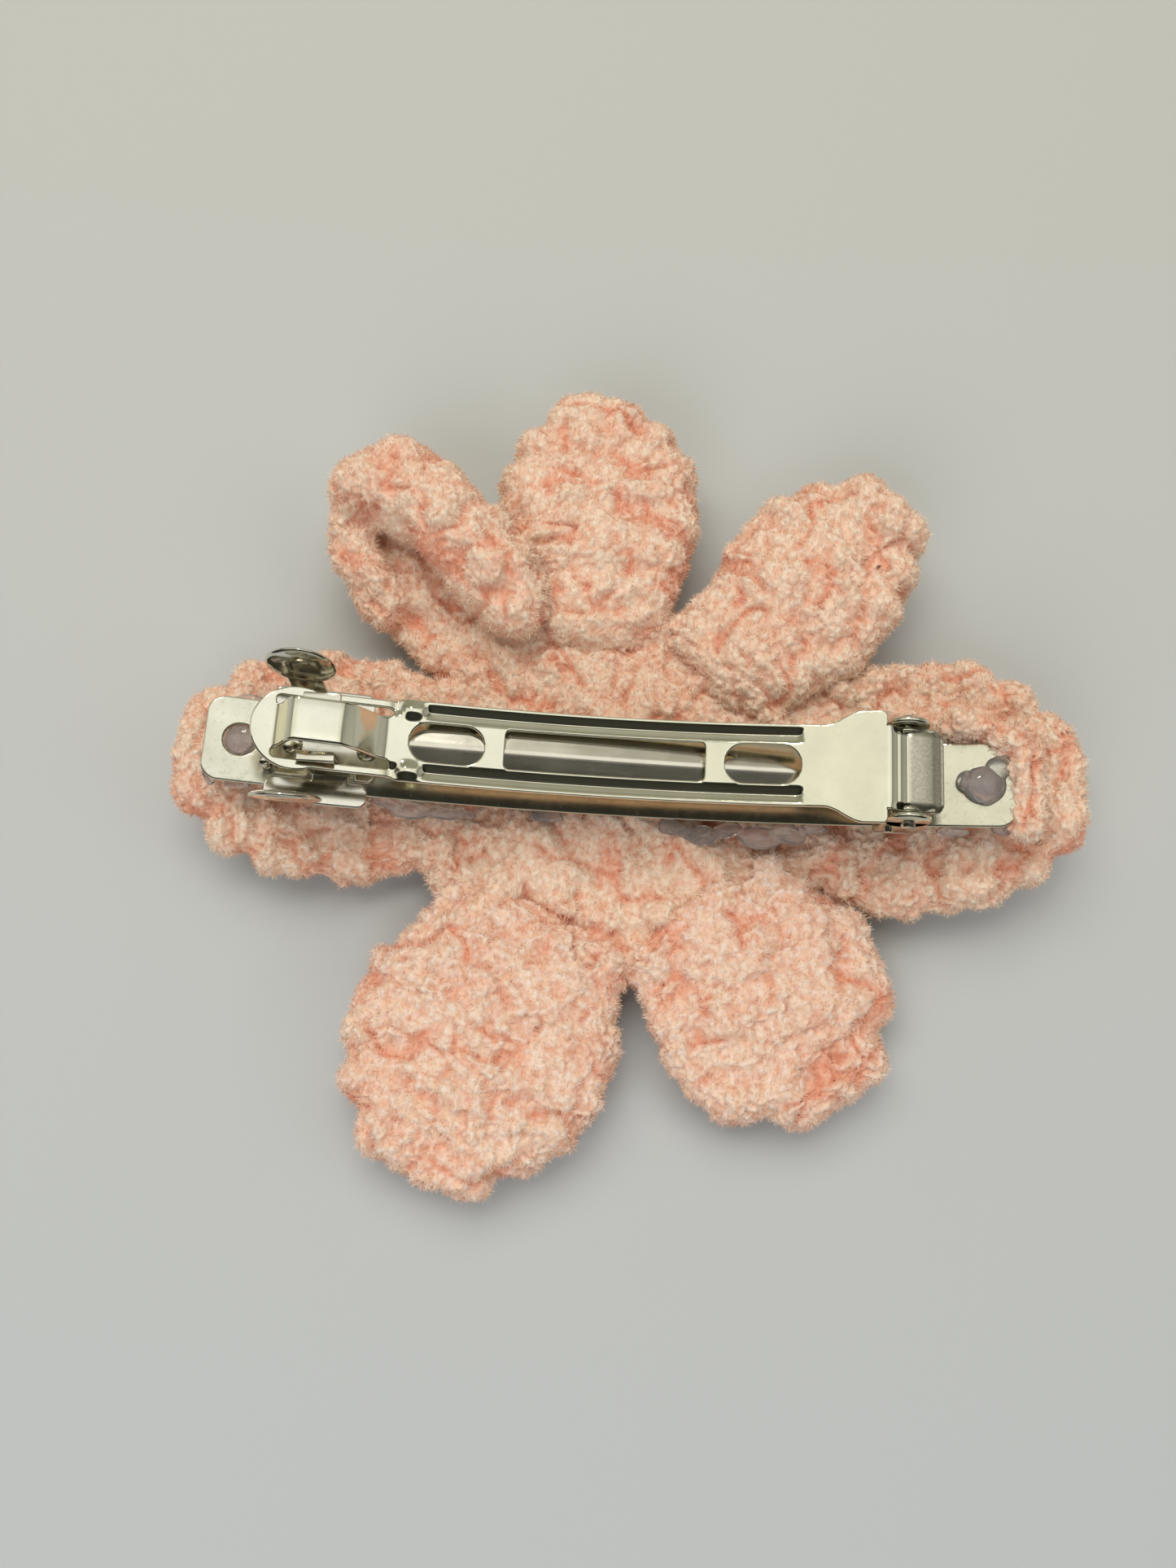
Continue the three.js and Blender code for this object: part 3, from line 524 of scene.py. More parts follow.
def tension_height(x, y):
    t = (x - TENSION_START) / (TENSION_PIN.x - TENSION_START)
    fade = step((1 - t) * 8)
    crease = TENSION_CREASE * np.sqrt(y * y + 0.01) / TENSION_HALF
    return start_z + (finish_z - start_z) * t - TENSION_BOW * 4 * t * (1 - t) - crease * fade


along_pin = Matrix.Rotation(-math.pi / 2, 3, "X")
tension_shells = [stamping(tension_plan, tension_height, (-21, 29), (-3, 3), TENSION_SHEET, 0.2, 0.1)]

def round_bar(radius, half, chamfer):
    """The profile of a round bar with its ends eased: radius and height, from the axis round to the axis."""
    top = [(0, half), (radius - chamfer, half), (radius, half - 0.1)]
    return [(r, -h) for r, h in top] + top[::-1]


tension_shells.append(lathe(round_bar(BARREL_RADIUS, BARREL_HALF, 0.08), along_pin, TENSION_PIN))
tension_shells.append(lathe(round_bar(PIN_RADIUS, PIN_HALF, 0.05), along_pin, TENSION_PIN, 24))
tension_bar = joined("sprung_tension_bar", *tension_shells)
SPRING = (0.78, 0.74, 0.63)
tension_bar.data.materials.append(nickel("tension nickel", SPRING, 0.16, ALONG))
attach(tension_bar, "tension")
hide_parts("tension_bar")


# ---- Latch ---------------------------------------------------------------------------------------
# One bent sheet of spring steel held by two rivets: a floor with guide posts for the tongue, and two cheeks
# that spread apart by themselves, each with a hooked prong inside and a dished thumb disc outside.

LATCH_SHEET = 0.5
floor_low, floor_high = (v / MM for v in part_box("latch_floor"))
cheek_low, cheek_high = (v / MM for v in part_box("latch_cheek_back"))
CHEEK_LIFT = 0.35
THUMB_X = -30.4
THUMB_Y = 6.4
THUMB_LEAN = math.radians(8)
PRONG_X = -29.4
PRONG_WIDTH = 3.6
PRONG_Y = 2.35
POST_X = -33.3
POST_Y = 2.55
FLOOR_HALF = 3.2
WING = (3.45, 5.9)


def base_top(x):
    return base_z + arch(x, BASE_ARCH) + BASE_SHEET / 2


def floor_height(x, y):
    return base_top(x) + 0.1 + LATCH_SHEET / 2


def cheek_height(x, y):
    return base_top(x) + CHEEK_LIFT + LATCH_SHEET / 2


def floor_plan(x, y):
    plan = rounded_box(x, y, floor_low.x, floor_high.x, -FLOOR_HALF, FLOOR_HALF, 0.8)
    for side in (-1, 1):
        notch = rounded_box(x, side * y, PRONG_X - 0.3, PRONG_X + PRONG_WIDTH + 0.3, 2.0, 5.0, 0.2)
        plan = np.maximum(plan, -notch)
    return plan


floor_shells = [stamping(floor_plan, floor_height, (-35, -21), (-4, 4), LATCH_SHEET, 0.2)]
for side in (-1, 1):
    foot = float(floor_height(POST_X, 0))
    post = [(0, 0), (0.65, 0), (0.65, 2.7), (0.5, 2.95), (0.25, 3.05), (0, 3.08)]
    floor_shells.append(lathe(post, None, (POST_X, side * POST_Y, foot), 24))
latch_floor = joined("sprung_latch_floor", *floor_shells)
latch_floor.data.materials.append(nickel("latch floor nickel", (0.8, 0.77, 0.66), 0.12, ALONG))
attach(latch_floor, "base")
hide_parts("latch_floor")


def cheek_shells(side):
    """The wing that flexes, with a neck and a dished disc for the thumb outside it, and inside it the prong
    whose hook comes up through a slit of the arm and over the slit's edge."""

    def wing_plan(x, y):
        wing = rounded_box(x, side * y, cheek_low.x, cheek_high.x, *WING, 0.9)
        web = rounded_box(x, side * y, PRONG_X, PRONG_X + PRONG_WIDTH, PRONG_Y, 4.0, 0.1)
        return np.minimum(wing, web)

    disc_z = float(arm_mid(THUMB_X)) - 1
    root_z = float(cheek_height(THUMB_X, 0))
    lean = Matrix.Rotation(-side * THUMB_LEAN, 3, "X")
    outward = Matrix.Rotation(-side * math.pi / 2, 3, "X")
    dish = [(0, -0.38), (1.7, -0.36), (2.5, -0.28), (3.15, -0.1), (3.4, 0.05), (3.4, 0.25), (3.25, 0.34)]
    dish += [(3.0, 0.3), (2.5, 0.12), (1.7, 0.0), (0, -0.02)]
    where = (THUMB_X, side * THUMB_Y, disc_z)
    hook_z = float(arm_mid(PRONG_X)) + ARM_SHEET / 2 + 0.25
    foot_z = float(cheek_height(PRONG_X + PRONG_WIDTH, 0))
    prong = sorted((side * PRONG_Y, side * (PRONG_Y + LATCH_SHEET)))
    hook = sorted((side * PRONG_Y, side * 3.4))
    return [
        stamping(wing_plan, cheek_height, (-34, -22), (-7, 7), LATCH_SHEET, 0.2),
        lathe(dish, lean @ outward, where),
        block(-1.7, 1.7, -0.25, 0.25, root_z - disc_z, 0.6, 0.12, lean, where),
        block(PRONG_X, PRONG_X + PRONG_WIDTH, *prong, foot_z, hook_z + 0.55, 0.12),
        block(PRONG_X, PRONG_X + PRONG_WIDTH, *hook, hook_z, hook_z + 0.6, 0.12),
    ]


for label, side in (("front", -1), ("back", 1)):
    cheek = joined("sprung_cheek_" + label, *cheek_shells(side))
    cheek.data.materials.append(nickel("cheek nickel " + label, (0.8, 0.77, 0.67), 0.1, ALONG))
    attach(cheek, "cheek_" + label)
    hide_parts("latch_cheek_" + label)


# ---- Latch rivets --------------------------------------------------------------------------------
# Two small turned steel rivets that hold the latch's floor to the base bar: a head above and a head below,
# with the shank pressed tight between them.

SHANK = 0.6
for number in (1, 2):
    low, high = (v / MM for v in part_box("latch_rivet_" + str(number)))
    r = (high.x - low.x) / 2
    tall = high.z - low.z
    turned = [(0, 0), (r * 0.8, 0.02), (r, 0.12), (r, 0.3), (SHANK, 0.35), (SHANK, tall - 0.35)]
    turned += [(r, tall - 0.33), (r * 0.97, tall - 0.2), (r * 0.7, tall - 0.05), (0, tall)]
    shell = lathe(turned, None, ((low.x + high.x) / 2, 0, low.z), 32)
    rivet = joined("latch_rivet_turned_" + str(number), shell)
    rivet.data.materials.append(nickel("rivet nickel " + str(number), PLATE, 0.15, ALONG))
    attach(rivet, "base")
    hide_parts("latch_rivet_" + str(number))


# ---- Flower --------------------------------------------------------------------------------------
# Crocheted in one thick chenille yarn, whose cut pile stands out all round it: a hub and seven petals of
# puffy stitches, peach where the pile catches the light and salmon painted shade down in the creases between
# the stitches.

def worley(points, seed):
    """Distance to the nearest scattered point, and to the next one, in a unit grid."""
    cell = np.floor(points).astype(np.int64)
    near = np.full((len(points), 2), 9.0)
    for shift in np.ndindex(3, 3, 3):
        c = cell + np.array(shift) - 1
        spot = []
        for k in range(3):
            h = (c[:, 0] * 73856093) ^ (c[:, 1] * 19349663) ^ (c[:, 2] * 83492791)
            h ^= (seed + k * 101) * 2654435
            h = (h ^ (h >> 13)) * 1274126177 & 0x7FFFFFFF
            spot.append(((h ^ (h >> 16)) & 0xFFFF) / 65535)
        d = np.linalg.norm(c + np.stack(spot, -1) - points, axis=1)
        closer = d < near[:, 0]
        near[:, 1] = np.where(closer, near[:, 0], np.minimum(near[:, 1], d))
        near[:, 0] = np.where(closer, d, near[:, 0])
    return near


def waves(points, size, seed):
    """Smooth uneven values from about -1 to 1, in three channels, whose swells are about size across."""
    rng = np.random.default_rng(seed)
    total = np.zeros((len(points), 3))
    for k in range(8):
        facing = rng.normal(size=3)
        facing *= 2 * math.pi / size * rng.uniform(0.6, 1.5) / np.linalg.norm(facing)
        total += np.sin(points @ facing + rng.uniform(0, 6.3))[:, None] * rng.normal(size=3)
    return total / 2.8


def settled(body):
    """The mesh of a body with its modifiers made part of it."""
    graph = bpy.context.evaluated_depsgraph_get()
    made = bpy.data.meshes.new_from_object(body.evaluated_get(graph))
    rough = body.data
    body.modifiers.clear()
    body.data = made
    if not rough.users:
        bpy.data.meshes.remove(rough)
    made.name = body.name
    return made


def fused(name, lumps, voxel, softness, rounds):
    """One closed body where lumps run into each other. lumps lists (centre, three half axes)."""
    mesh = bmesh.new()
    for centre, axes in lumps:
        new = bmesh.ops.create_icosphere(mesh, subdivisions=3, radius=1)
        move = Matrix([[axes[c][r] for c in range(3)] for r in range(3)]).to_4x4()
        bmesh.ops.transform(mesh, matrix=Matrix.Translation(centre) @ move, verts=new["verts"])
    mesh.transform(Matrix.Scale(MM, 4))
    rough = bpy.data.meshes.new(name)
    mesh.to_mesh(rough)
    mesh.free()
    body = bpy.data.objects.new(name, rough)
    bpy.context.scene.collection.objects.link(body)
    union = body.modifiers.new("union", "REMESH")
    union.mode = "VOXEL"
    union.voxel_size = voxel * MM
    soften = body.modifiers.new("soften", "SMOOTH")
    soften.factor, soften.iterations = softness, rounds
    made = settled(body)
    made.polygons.foreach_set("use_smooth", [True] * len(made.polygons))
    return body


STITCH = (4.6, 6.6)
TUFT = 1.15
GRAIN = 0.66
PUFF = 1.1
SWELL = 0.42
TUFT_HEIGHT = 0.7
GRAIN_HEIGHT = 0.3
LIES_AT = 0.1


def stitched(name, lumps, heading, seed, voxel=0.215):
    """A plump body whose stitches run in rows across heading. It carries a point attribute of painted shade,
    near 1 in a crease and in the gaps between tufts, with a little tone that differs at random.
    """
    body = fused(name, lumps, voxel, 0.5, 40)
    made = body.data
    count = len(made.vertices)
    place = np.empty(count * 3, np.float32)
    normal = np.empty(count * 3, np.float32)
    made.vertices.foreach_get("co", place)
    made.vertices.foreach_get("normal", normal)
    place = place.reshape(-1, 3).astype(float) / MM
    normal = normal.reshape(-1, 3).astype(float)
    along = np.array([math.cos(heading), math.sin(heading), 0])
    across = np.array([-math.sin(heading), math.cos(heading), 0])
    bent = place + waves(place, 9.0, seed + 60) * 1.3 + waves(place, 3.2, seed + 61) * 0.42
    local = np.stack([bent @ along / STITCH[0], bent @ across / STITCH[1], bent[:, 2] / 60 + 0.4], -1)
    stitch = worley(local + 40, seed)
    rim = stitch[:, 1] - stitch[:, 0]
    patchiness = np.clip(0.5 + 0.9 * waves(place, 6.0, seed + 20)[:, 0], 0.0, 1)
    crease = np.exp(-((rim / 0.1) ** 2)) * patchiness
    puff = 1 - np.exp(-((rim / 0.36) ** 2))
    loose = place + waves(place, 1.9, seed + 80) * 0.3
    clump = worley(loose / TUFT + 40, seed + 3)
    grain = worley(loose / GRAIN + 40, seed + 5)
    cleft = np.exp(-(((clump[:, 1] - clump[:, 0]) / 0.15) ** 2))
    curly = np.clip(0.7 + 0.5 * waves(place, 9.0, seed + 40)[:, 1], 0.35, 1.1)
    flat = 0.6 + 0.4 * np.abs(normal[:, 2])
    rise = PUFF * (puff - 0.75) * (0.4 + 0.6 * patchiness) * flat - 0.12 * crease
    rise += SWELL * waves(place, 8.0, seed + 10)[:, 2] * flat
    rise += TUFT_HEIGHT * (0.5 - clump[:, 0]) * curly
    rise += GRAIN_HEIGHT * (0.5 - grain[:, 0]) - 0.12 * cleft * curly
    place += normal * rise[:, None]
    place[:, 2] = np.maximum(place[:, 2], LIES_AT)
    # Painted shade: salmon in the creases, seams and clefts between stitches and tufts, with a little tone
    # that differs at random.
    low = 0.55 * crease + 0.25 * np.exp(-((rim / 0.2) ** 2)) * patchiness
    low += 0.25 * cleft * np.clip(0.35 + waves(place, 4.0, seed + 90)[:, 0], 0, 1)
    low += 0.5 * np.clip((clump[:, 0] - 0.4) * 1.5, 0, 1)
    low += 0.14 * np.clip(waves(place, 8.0, seed + 95)[:, 1], 0, 1)
    made.vertices.foreach_set("co", (place * MM).astype(np.float32).ravel())
    depth = made.attributes.new("depth", "FLOAT", "POINT")
    depth.data.foreach_set("value", np.clip(low, 0, 1).astype(np.float32))
    made.update()
    return body


def pile_nodes():
    """Short pile: fibres that stand all over a surface and lean together in small tufts."""
    tree = bpy.data.node_groups.new("pile", "GeometryNodeTree")
    kinds = {"Geometry": "Geometry", "Fibre": "Object", "Density": "Float", "Material": "Material"}
    for label, kind in kinds.items():
        tree.interface.new_socket(label, in_out="INPUT", socket_type="NodeSocket" + kind)
    tree.interface.new_socket("Geometry", in_out="OUTPUT", socket_type="NodeSocketGeometry")

    def add(kind, settings, inputs):
        return put_node(tree, kind, settings, inputs).outputs

    given = add("NodeGroupInput", {}, {})
    sockets = {"Mesh": given["Geometry"], "Density": given["Density"], "Seed": 3}
    scatter = add("GeometryNodeDistributePointsOnFaces", {}, sockets)
    blade = add("GeometryNodeObjectInfo", {}, {"Object": given["Fibre"]})
    tuft = add("ShaderNodeTexNoise", {}, {"Scale": 900, "Detail": 1})
    centred = add("ShaderNodeVectorMath", {"operation": "SUBTRACT"}, {0: tuft["Color"], 1: (0.5, 0.5, 0.5)})
    together = add("ShaderNodeVectorMath", {"operation": "MULTIPLY"}, {0: centred[0], 1: (3.0, 3.0, 3.0)})
    sockets = {"Min": (-0.35, -0.35, -3.14), "Max": (0.35, 0.35, 3.14), "Seed": 5}
    stray = add("FunctionNodeRandomValue", {"data_type": "FLOAT_VECTOR"}, sockets)
    lean = add("ShaderNodeVectorMath", {"operation": "ADD"}, {0: together[0], 1: stray["Value"]})
    sockets = {0: scatter["Rotation"], "Rotate By": lean[0]}
    turn = add("FunctionNodeRotateEuler", {"space": "LOCAL"}, sockets)
    size = add("FunctionNodeRandomValue", {"data_type": "FLOAT"}, {2: 0.5, 3: 1.15, "Seed": 8})
    sockets = {"Points": scatter["Points"], "Instance": blade["Geometry"]}
    sockets.update({"Rotation": turn[0], "Scale": size[1]})
    copies = add("GeometryNodeInstanceOnPoints", {}, sockets)
    real = add("GeometryNodeRealizeInstances", {}, {0: copies[0]})
    painted = add("GeometryNodeSetMaterial", {}, {"Geometry": real[0], "Material": given["Material"]})
    add("NodeGroupOutput", {}, {0: painted[0]})
    return tree


FIBRE_LENGTH = 0.55
FIBRE_WIDTH = 0.075
half = FIBRE_WIDTH / 2
fibre = mesh_object(
    "fibre",
    [(-half, 0, -0.1), (half, 0, -0.1), (half / 1.2, 0.06, 0.5 * FIBRE_LENGTH),
     (-half / 1.2, 0.06, 0.5 * FIBRE_LENGTH), (0, 0.26, FIBRE_LENGTH)],
    [(0, 1, 2, 3), (3, 2, 4)],
)
fibre.data.attributes.new("tip", "FLOAT", "POINT").data.foreach_set("value", [0, 0, 0.65, 0.65, 1])
fibre.hide_render = True
pile_tree = pile_nodes()


def yarn_material(name, pink=0.0):
    """Chenille: cream-peach where the tips of the pile catch the light, with salmon painted shade in the
    creases, lower on the fibres and in the gaps between small clumps.
    """
    finish = Finish(
        name, Roughness=0.95, Sheen_Weight=0.25, Sheen_Roughness=0.5, Sheen_Tint=(1.0, 0.86, 0.76, 1),
        Specular_IOR_Level=0.1,
    )
    depth = finish.attribute("depth")
    tip = finish.attribute("tip")
    fluff = finish.cells(1300.0, 0.0005)
    drift = finish.noise(90.0, 2)
    light = (0.93, 0.8 - 0.01 * pink, 0.655 + 0.035 * pink)
    warm = (0.925, 0.75 - 0.01 * pink, 0.59 + 0.05 * pink)
    tops = finish.mix((drift * 1.8 - 0.4).clamp(), light, warm)
    # Painted shade: the salmon that the creases, seams and clefts are painted with.
    shade_salmon = (0.84, 0.38, 0.24)
    # Painted shade: the fibres are darker salmon lower down and at the edges of the small clumps, and paler at
    # their tips.
    shaded_roots = (0.91, 0.66, 0.49)
    pile = finish.mix((tip * 0.35 + (fluff * -1.8 + 1.25)).clamp(), shaded_roots, tops)
    share = (depth * 0.95 + fluff * 0.18 - 0.12).clamp()
    finish.drive("Base Color", finish.mix(share, pile, shade_salmon))
    finish.bump(fluff * -1.0 + 1.0, 0.0003, 0.7)
    return finish.material


def furred(body, material, density):
    """The pile of one stitched body, as a plain mesh that goes with it."""
    body.data.materials.clear()
    body.data.materials.append(material)
    pile = bpy.data.objects.new(body.name + "_pile", body.data)
    bpy.context.scene.collection.objects.link(pile)
    grow = pile.modifiers.new("grow", "NODES")
    grow.node_group = pile_tree
    sockets = {s.name: s.identifier for s in pile_tree.interface.items_tree if s.in_out == "INPUT"}
    grow[sockets["Fibre"]] = fibre
    grow[sockets["Density"]] = float(density)
    grow[sockets["Material"]] = material
    settled(pile)
    return pile


def lump(centre, along, across, sizes, tilt=0.0):
    """One stitch: an ellipsoid whose first axis runs along and second across, turned by tilt in its plane."""
    up = along.cross(across).normalized()
    a = (along * math.cos(tilt) + across * math.sin(tilt)).normalized()
    b = up.cross(a).normalized()
    return centre, (a * sizes[0], b * sizes[1], up * sizes[2])


chance = random.Random(11)
PETAL_SIZES = ("heading", "reach", "width", "neck", "thick", "root_z", "tip_z", "dome")
PETALS = {
    "petal_upper_left": (131.5, 44.0, 18.5, 15, 7, 5.0, 8, 0.5),
    "petal_upper_right": (47.5, 44.4, 20.3, 16, 8.5, 5.2, 9.5, 2.2),
    "petal_top": (95, 44.4, 22.4, 16, 8.5, 5, 7.5, 2.6),
    "petal_right": (3, 49.8, 28.4, 22, 7, 4.0, 8.0, 0.4),
    "petal_left": (179.5, 45.0, 25.6, 22, 7, 4.0, 7.6, 0.4),
    "petal_lower_left": (247.5, 44.6, 27.6, 22, 7.8, 4.6, 4.6, 1.4),
    "petal_lower_right": (309.5, 40.8, 25.6, 20, 7.8, 4.6, 4.6, 1.2),
}
ROW = 3.4
PITCH = 3.7
ROOT = 18.0


def wobble(size):
    return chance.uniform(-size, size)


def petal_lumps(p):
    """The rows of one petal: an oval core right across each row, and the stitches that stand out of it."""
    heading = math.radians(p["heading"])
    along = Vector((math.cos(heading), math.sin(heading), 0))
    across = Vector((-math.sin(heading), math.cos(heading), 0))
    length = p["reach"] - ROOT - 3.0
    wide = p["width"] / 2
    lumps = []

    def level(t, share):
        z = p["root_z"] + (p["tip_z"] - p["root_z"]) * t * t
        return z + p["dome"] * (1 - share * share) * math.sin(math.pi * min(1, t + 0.1))

    rows = max(3, round(length / ROW))
    for i in range(rows + 1):
        t = i / rows
        if t < 0.5:
            half = p["neck"] / 2 + (wide - p["neck"] / 2) * float(step(t / 0.5))
        else:
            half = wide * math.sqrt(1 - ((t - 0.5) / 0.58) ** 2.4)
        out = ROOT + t * length
        core = along * out + Vector((0, 0, level(t, 0)))
        lumps.append(lump(core, along, across, (3.6 if t < 1 else 3.0, half - 0.2, p["thick"] / 2 - 0.1)))
        span = half - 3.2
        count = max(2, round(2 * span / PITCH) + 1)
        for j in range(count):
            v = -span + 2 * span * j / (count - 1)
            if 0 < j < count - 1:
                v += (0.25 if i % 2 else -0.2) * 2 * span / (count - 1)
            share = abs(v) / wide
            back = 1.6 * share * share * (1 if t > 0.4 else 0.3)
            thick = p["thick"] / 2 * (1 - 0.22 * share * share)
            centre = along * (out - back + wobble(0.3)) + across * (v + wobble(0.3))
            centre += Vector((0, 0, level(t, share) + wobble(0.2)))
            sizes = (3.1 + wobble(0.25), 3.3 + wobble(0.25), thick + wobble(0.15))
            lumps.append(lump(centre, along, across, sizes, wobble(0.4)))
    return lumps


def strand(path, radius, gap):
    """Stitches in a row along a path of (x, y, z) corners."""
    lumps = []
    corners = [Vector(c) for c in path]
    for a, b in zip(corners, corners[1:]):
        along = (b - a).normalized()
        across = Vector((0, 0, 1)).cross(along).normalized()
        count = max(1, round((b - a).length / gap))
        for k in range(count):
            centre = a.lerp(b, k / count) + Vector((wobble(0.3), wobble(0.3), wobble(0.3)))
            sizes = [radius * chance.uniform(0.92, 1.08) for _ in range(3)]
            lumps.append(lump(centre, along, across, sizes, wobble(0.5)))
    return lumps


def folded_lumps(p):
    """The upper left petal, folded over on itself: a thick roll leans on the petal beside it, with a hollow
    between the roll and the petal's other edge, which stands up behind it."""
    under = {"thick": 5.0, "root_z": 4.4, "tip_z": 5.5, "width": 16, "reach": 42, "dome": 0}
    lumps = petal_lumps({**p, **under})
    roll = [
        (-27.2, 30.0, 9.6), (-23.5, 30.2, 10.8), (-19.5, 27.4, 11.2), (-14.4, 22.8, 10.6), (-10.2, 17.4, 8.8),
    ]
    flap = [
        (-28.4, 29.6, 9.2), (-29.4, 26.4, 8.6), (-28.6, 22.8, 7.8), (-26.4, 19.2, 6.8), (-23.8, 16.4, 5.8),
    ]
    return lumps + strand(roll, 4.8, 1.9) + strand(flap, 2.8, 1.6)


def gathered_lumps(p):
    """The right petal, which the glue draws up over the end of the bar so that it hides the corners."""
    lumps = petal_lumps(p)
    level = float(base_height(40.0, 0))
    for x, y, size in (
        (41.1, 2.5, 1.9), (41.5, -0.6, 1.8), (41.2, -3.4, 1.9),
        (39.7, 4.4, 2.0), (37.3, 5.5, 1.8), (34.6, 5.9, 1.5),
    ):
        sizes = (size * 1.2, size * 1.2, size + 1.4)
        lumps.append(lump(Vector((x, y, level - 1.2)), Vector((1, 0, 0)), Vector((0, 1, 0)), sizes))
    return lumps


SHAPES = {"petal_upper_left": folded_lumps, "petal_right": gathered_lumps}
for number, (name, measures) in enumerate(PETALS.items()):
    p = dict(zip(PETAL_SIZES, measures))
    made = SHAPES.get(name, petal_lumps)(p)
    body = stitched("yarn_" + name, made, math.radians(p["heading"]), number + 2)
    colour = yarn_material("yarn of " + name, 1.0 if "lower" in name else 0.0)
    pile = furred(body, colour, 1.35e7)
    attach(body, "base")
    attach(pile, "base")
    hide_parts(name)

hub_low, hub_high = (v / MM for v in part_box("flower_hub"))
HUB_RADIUS = (hub_high.x - hub_low.x) / 2
hub_lumps = []
HUB_RINGS = ((0, 1), (4.8, 6), (9.6, 11), (14.2, 16), (18.4, 21))
for ring, count in HUB_RINGS:
    for k in range(count):
        angle = 2 * math.pi * (k + 0.5 * (ring > 9)) / count + ring * 0.13
        out = Vector((math.cos(angle), math.sin(angle), 0))
        side = Vector((-math.sin(angle), math.cos(angle), 0))
        high = 4.25 - 0.5 * (ring / HUB_RADIUS) ** 2 + chance.uniform(-0.15, 0.1)
        centre = out * ring + Vector((0, 0, high))
        size = (3.3 + chance.uniform(-0.2, 0.3), 3.6 + chance.uniform(-0.2, 0.4), high + 0.1)
        hub_lumps.append(lump(centre, out, side, size, chance.uniform(-0.5, 0.5)))
core = (HUB_RADIUS - 0.8, HUB_RADIUS - 0.8, 4.1)
hub_lumps.append(lump(Vector((0, 0, 4.2)), Vector((1, 0, 0)), Vector((0, 1, 0)), core))
hub = stitched("yarn_hub", hub_lumps, 1.3, 30, 0.245)
hub_pile = furred(hub, yarn_material("yarn of hub"), 1.3e7)
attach(hub, "base")
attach(hub_pile, "base")
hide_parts("flower_hub")
bpy.data.objects.remove(fibre)


# ---- Hot glue ------------------------------------------------------------------------------------
# Clear hot-melt glue: a bed between the bar and the yarn that squeezed out in beads along the bar's edges, a
# plug in the left hole and a blob that rose through the right one and spread over the pad.

glue = Finish("clear hot glue", Roughness=0.08, IOR=1.48, Transmission_Weight=0.85)
haze = glue.noise(260.0, 3)
glue.drive("Base Color", glue.mix((haze * 1.6 - 0.4).clamp(), (0.95, 0.93, 0.92), (0.8, 0.77, 0.77)))
glue.drive("Roughness", (haze * 0.08 + 0.02).clamp())
glue.bump(glue.noise(420.0, 2), 0.0004, 0.8)


def beads(name, node, spots, voxel=0.2, rounds=10):
    """Glue that set as it ran: spots lists (x, y, z, half sizes), which flow into one another."""
    lumps = [((x, y, z), ((sx, 0, 0), (0, sy, 0), (0, 0, sz))) for x, y, z, sx, sy, sz in spots]
    body = fused(name, lumps, voxel, 0.6, rounds)
    body.data.materials.append(glue.material)
    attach(body, "base")
    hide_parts(node)


def glue_top(x):
    return base_z + float(arch(x, BASE_ARCH)) - BASE_SHEET / 2 - 0.1


drops = random.Random(4)
BED_HALF = 37.5
BED_STEPS = 52
spots = []
for k in range(BED_STEPS + 1):
    x = -BED_HALF + k * 2 * BED_HALF / BED_STEPS
    spots.append((x, 0, glue_top(x) - 0.5, 2.0, 4.0 + drops.uniform(-0.2, 0.15), 0.5))
# Where it ran out beside the bar: (x, y, length, width, height above the bar's underside).
RUNS = [
    (-22.4, -4.4, 1.6, 0.9, -0.1), (-19.6, -4.9, 2.2, 1.1, -0.2), (-16.8, -5.3, 2.2, 1.0, -0.4),
    (-14.6, -5.0, 1.3, 0.8, -0.3), (-5.5, -4.5, 2.4, 0.6, -0.3), (6.6, -4.9, 1.8, 0.9, -0.3),
    (9.4, -5.4, 2.0, 1.2, -0.4), (12.6, -5.1, 1.4, 0.9, -0.2), (15.4, -5.6, 2.4, 1.3, -0.4),
    (18.8, -5.2, 1.8, 1.0, -0.3), (21.6, -4.8, 1.4, 0.7, -0.2), (-39.3, -3.2, 0.9, 1.6, -0.2),
    (-39.5, 0.8, 0.8, 1.3, -0.3), (-36.8, -4.5, 1.9, 0.7, -0.2), (-37.0, 4.3, 1.8, 0.7, -0.1),
    (-5.0, 4.4, 2.6, 0.6, -0.2), (33.4, 4.2, 1.4, 1.1, 0.2), (35.6, 4.4, 1.6, 1.2, 0.3),
    (38.3, 3.9, 1.5, 1.3, 0.2), (39.7, 1.6, 1.1, 1.6, 0.1), (39.9, -1.6, 0.9, 1.5, 0.0),
    (38.4, -4.2, 1.3, 0.8, -0.1), (34.6, -4.5, 1.7, 0.6, -0.1),
]
for x, y, long, wide, rise in RUNS:
    for _ in range(3):
        nudge = Vector((drops.uniform(-0.7, 0.7), drops.uniform(-0.3, 0.3), drops.uniform(-0.2, 0.15)))
        size = drops.uniform(0.6, 0.95)
        z = glue_top(x) + rise - 0.35 + nudge.z
        spots.append((x + nudge.x, y + nudge.y, z, long * size, wide * size, 0.75 * size))
beads("glue_run", "glue_bed", spots)
plug_z = glue_top(HOLE_X) + 0.35
beads("glue_left", "glue_plug_left", [(-HOLE_X, 0, plug_z + 0.15, 1.5, 1.5, 0.5)], 0.12, 4)
beads("glue_right", "glue_blob_right", [
    (HOLE_X + 0.3, -0.1, plug_z + 0.5, 2.2, 2.0, 1.25), (HOLE_X - 1.2, 0.2, plug_z + 0.4, 1.3, 1.2, 0.8),
    (HOLE_X + 1.6, 1.6, plug_z + 0.6, 1.3, 1.3, 1.0), (HOLE_X + 0.4, -1.2, plug_z + 0.5, 1.2, 1.0, 0.9),
    (HOLE_X + 2.6, 3.0, plug_z + 0.5, 1.2, 1.4, 0.9),
], 0.14, 6)


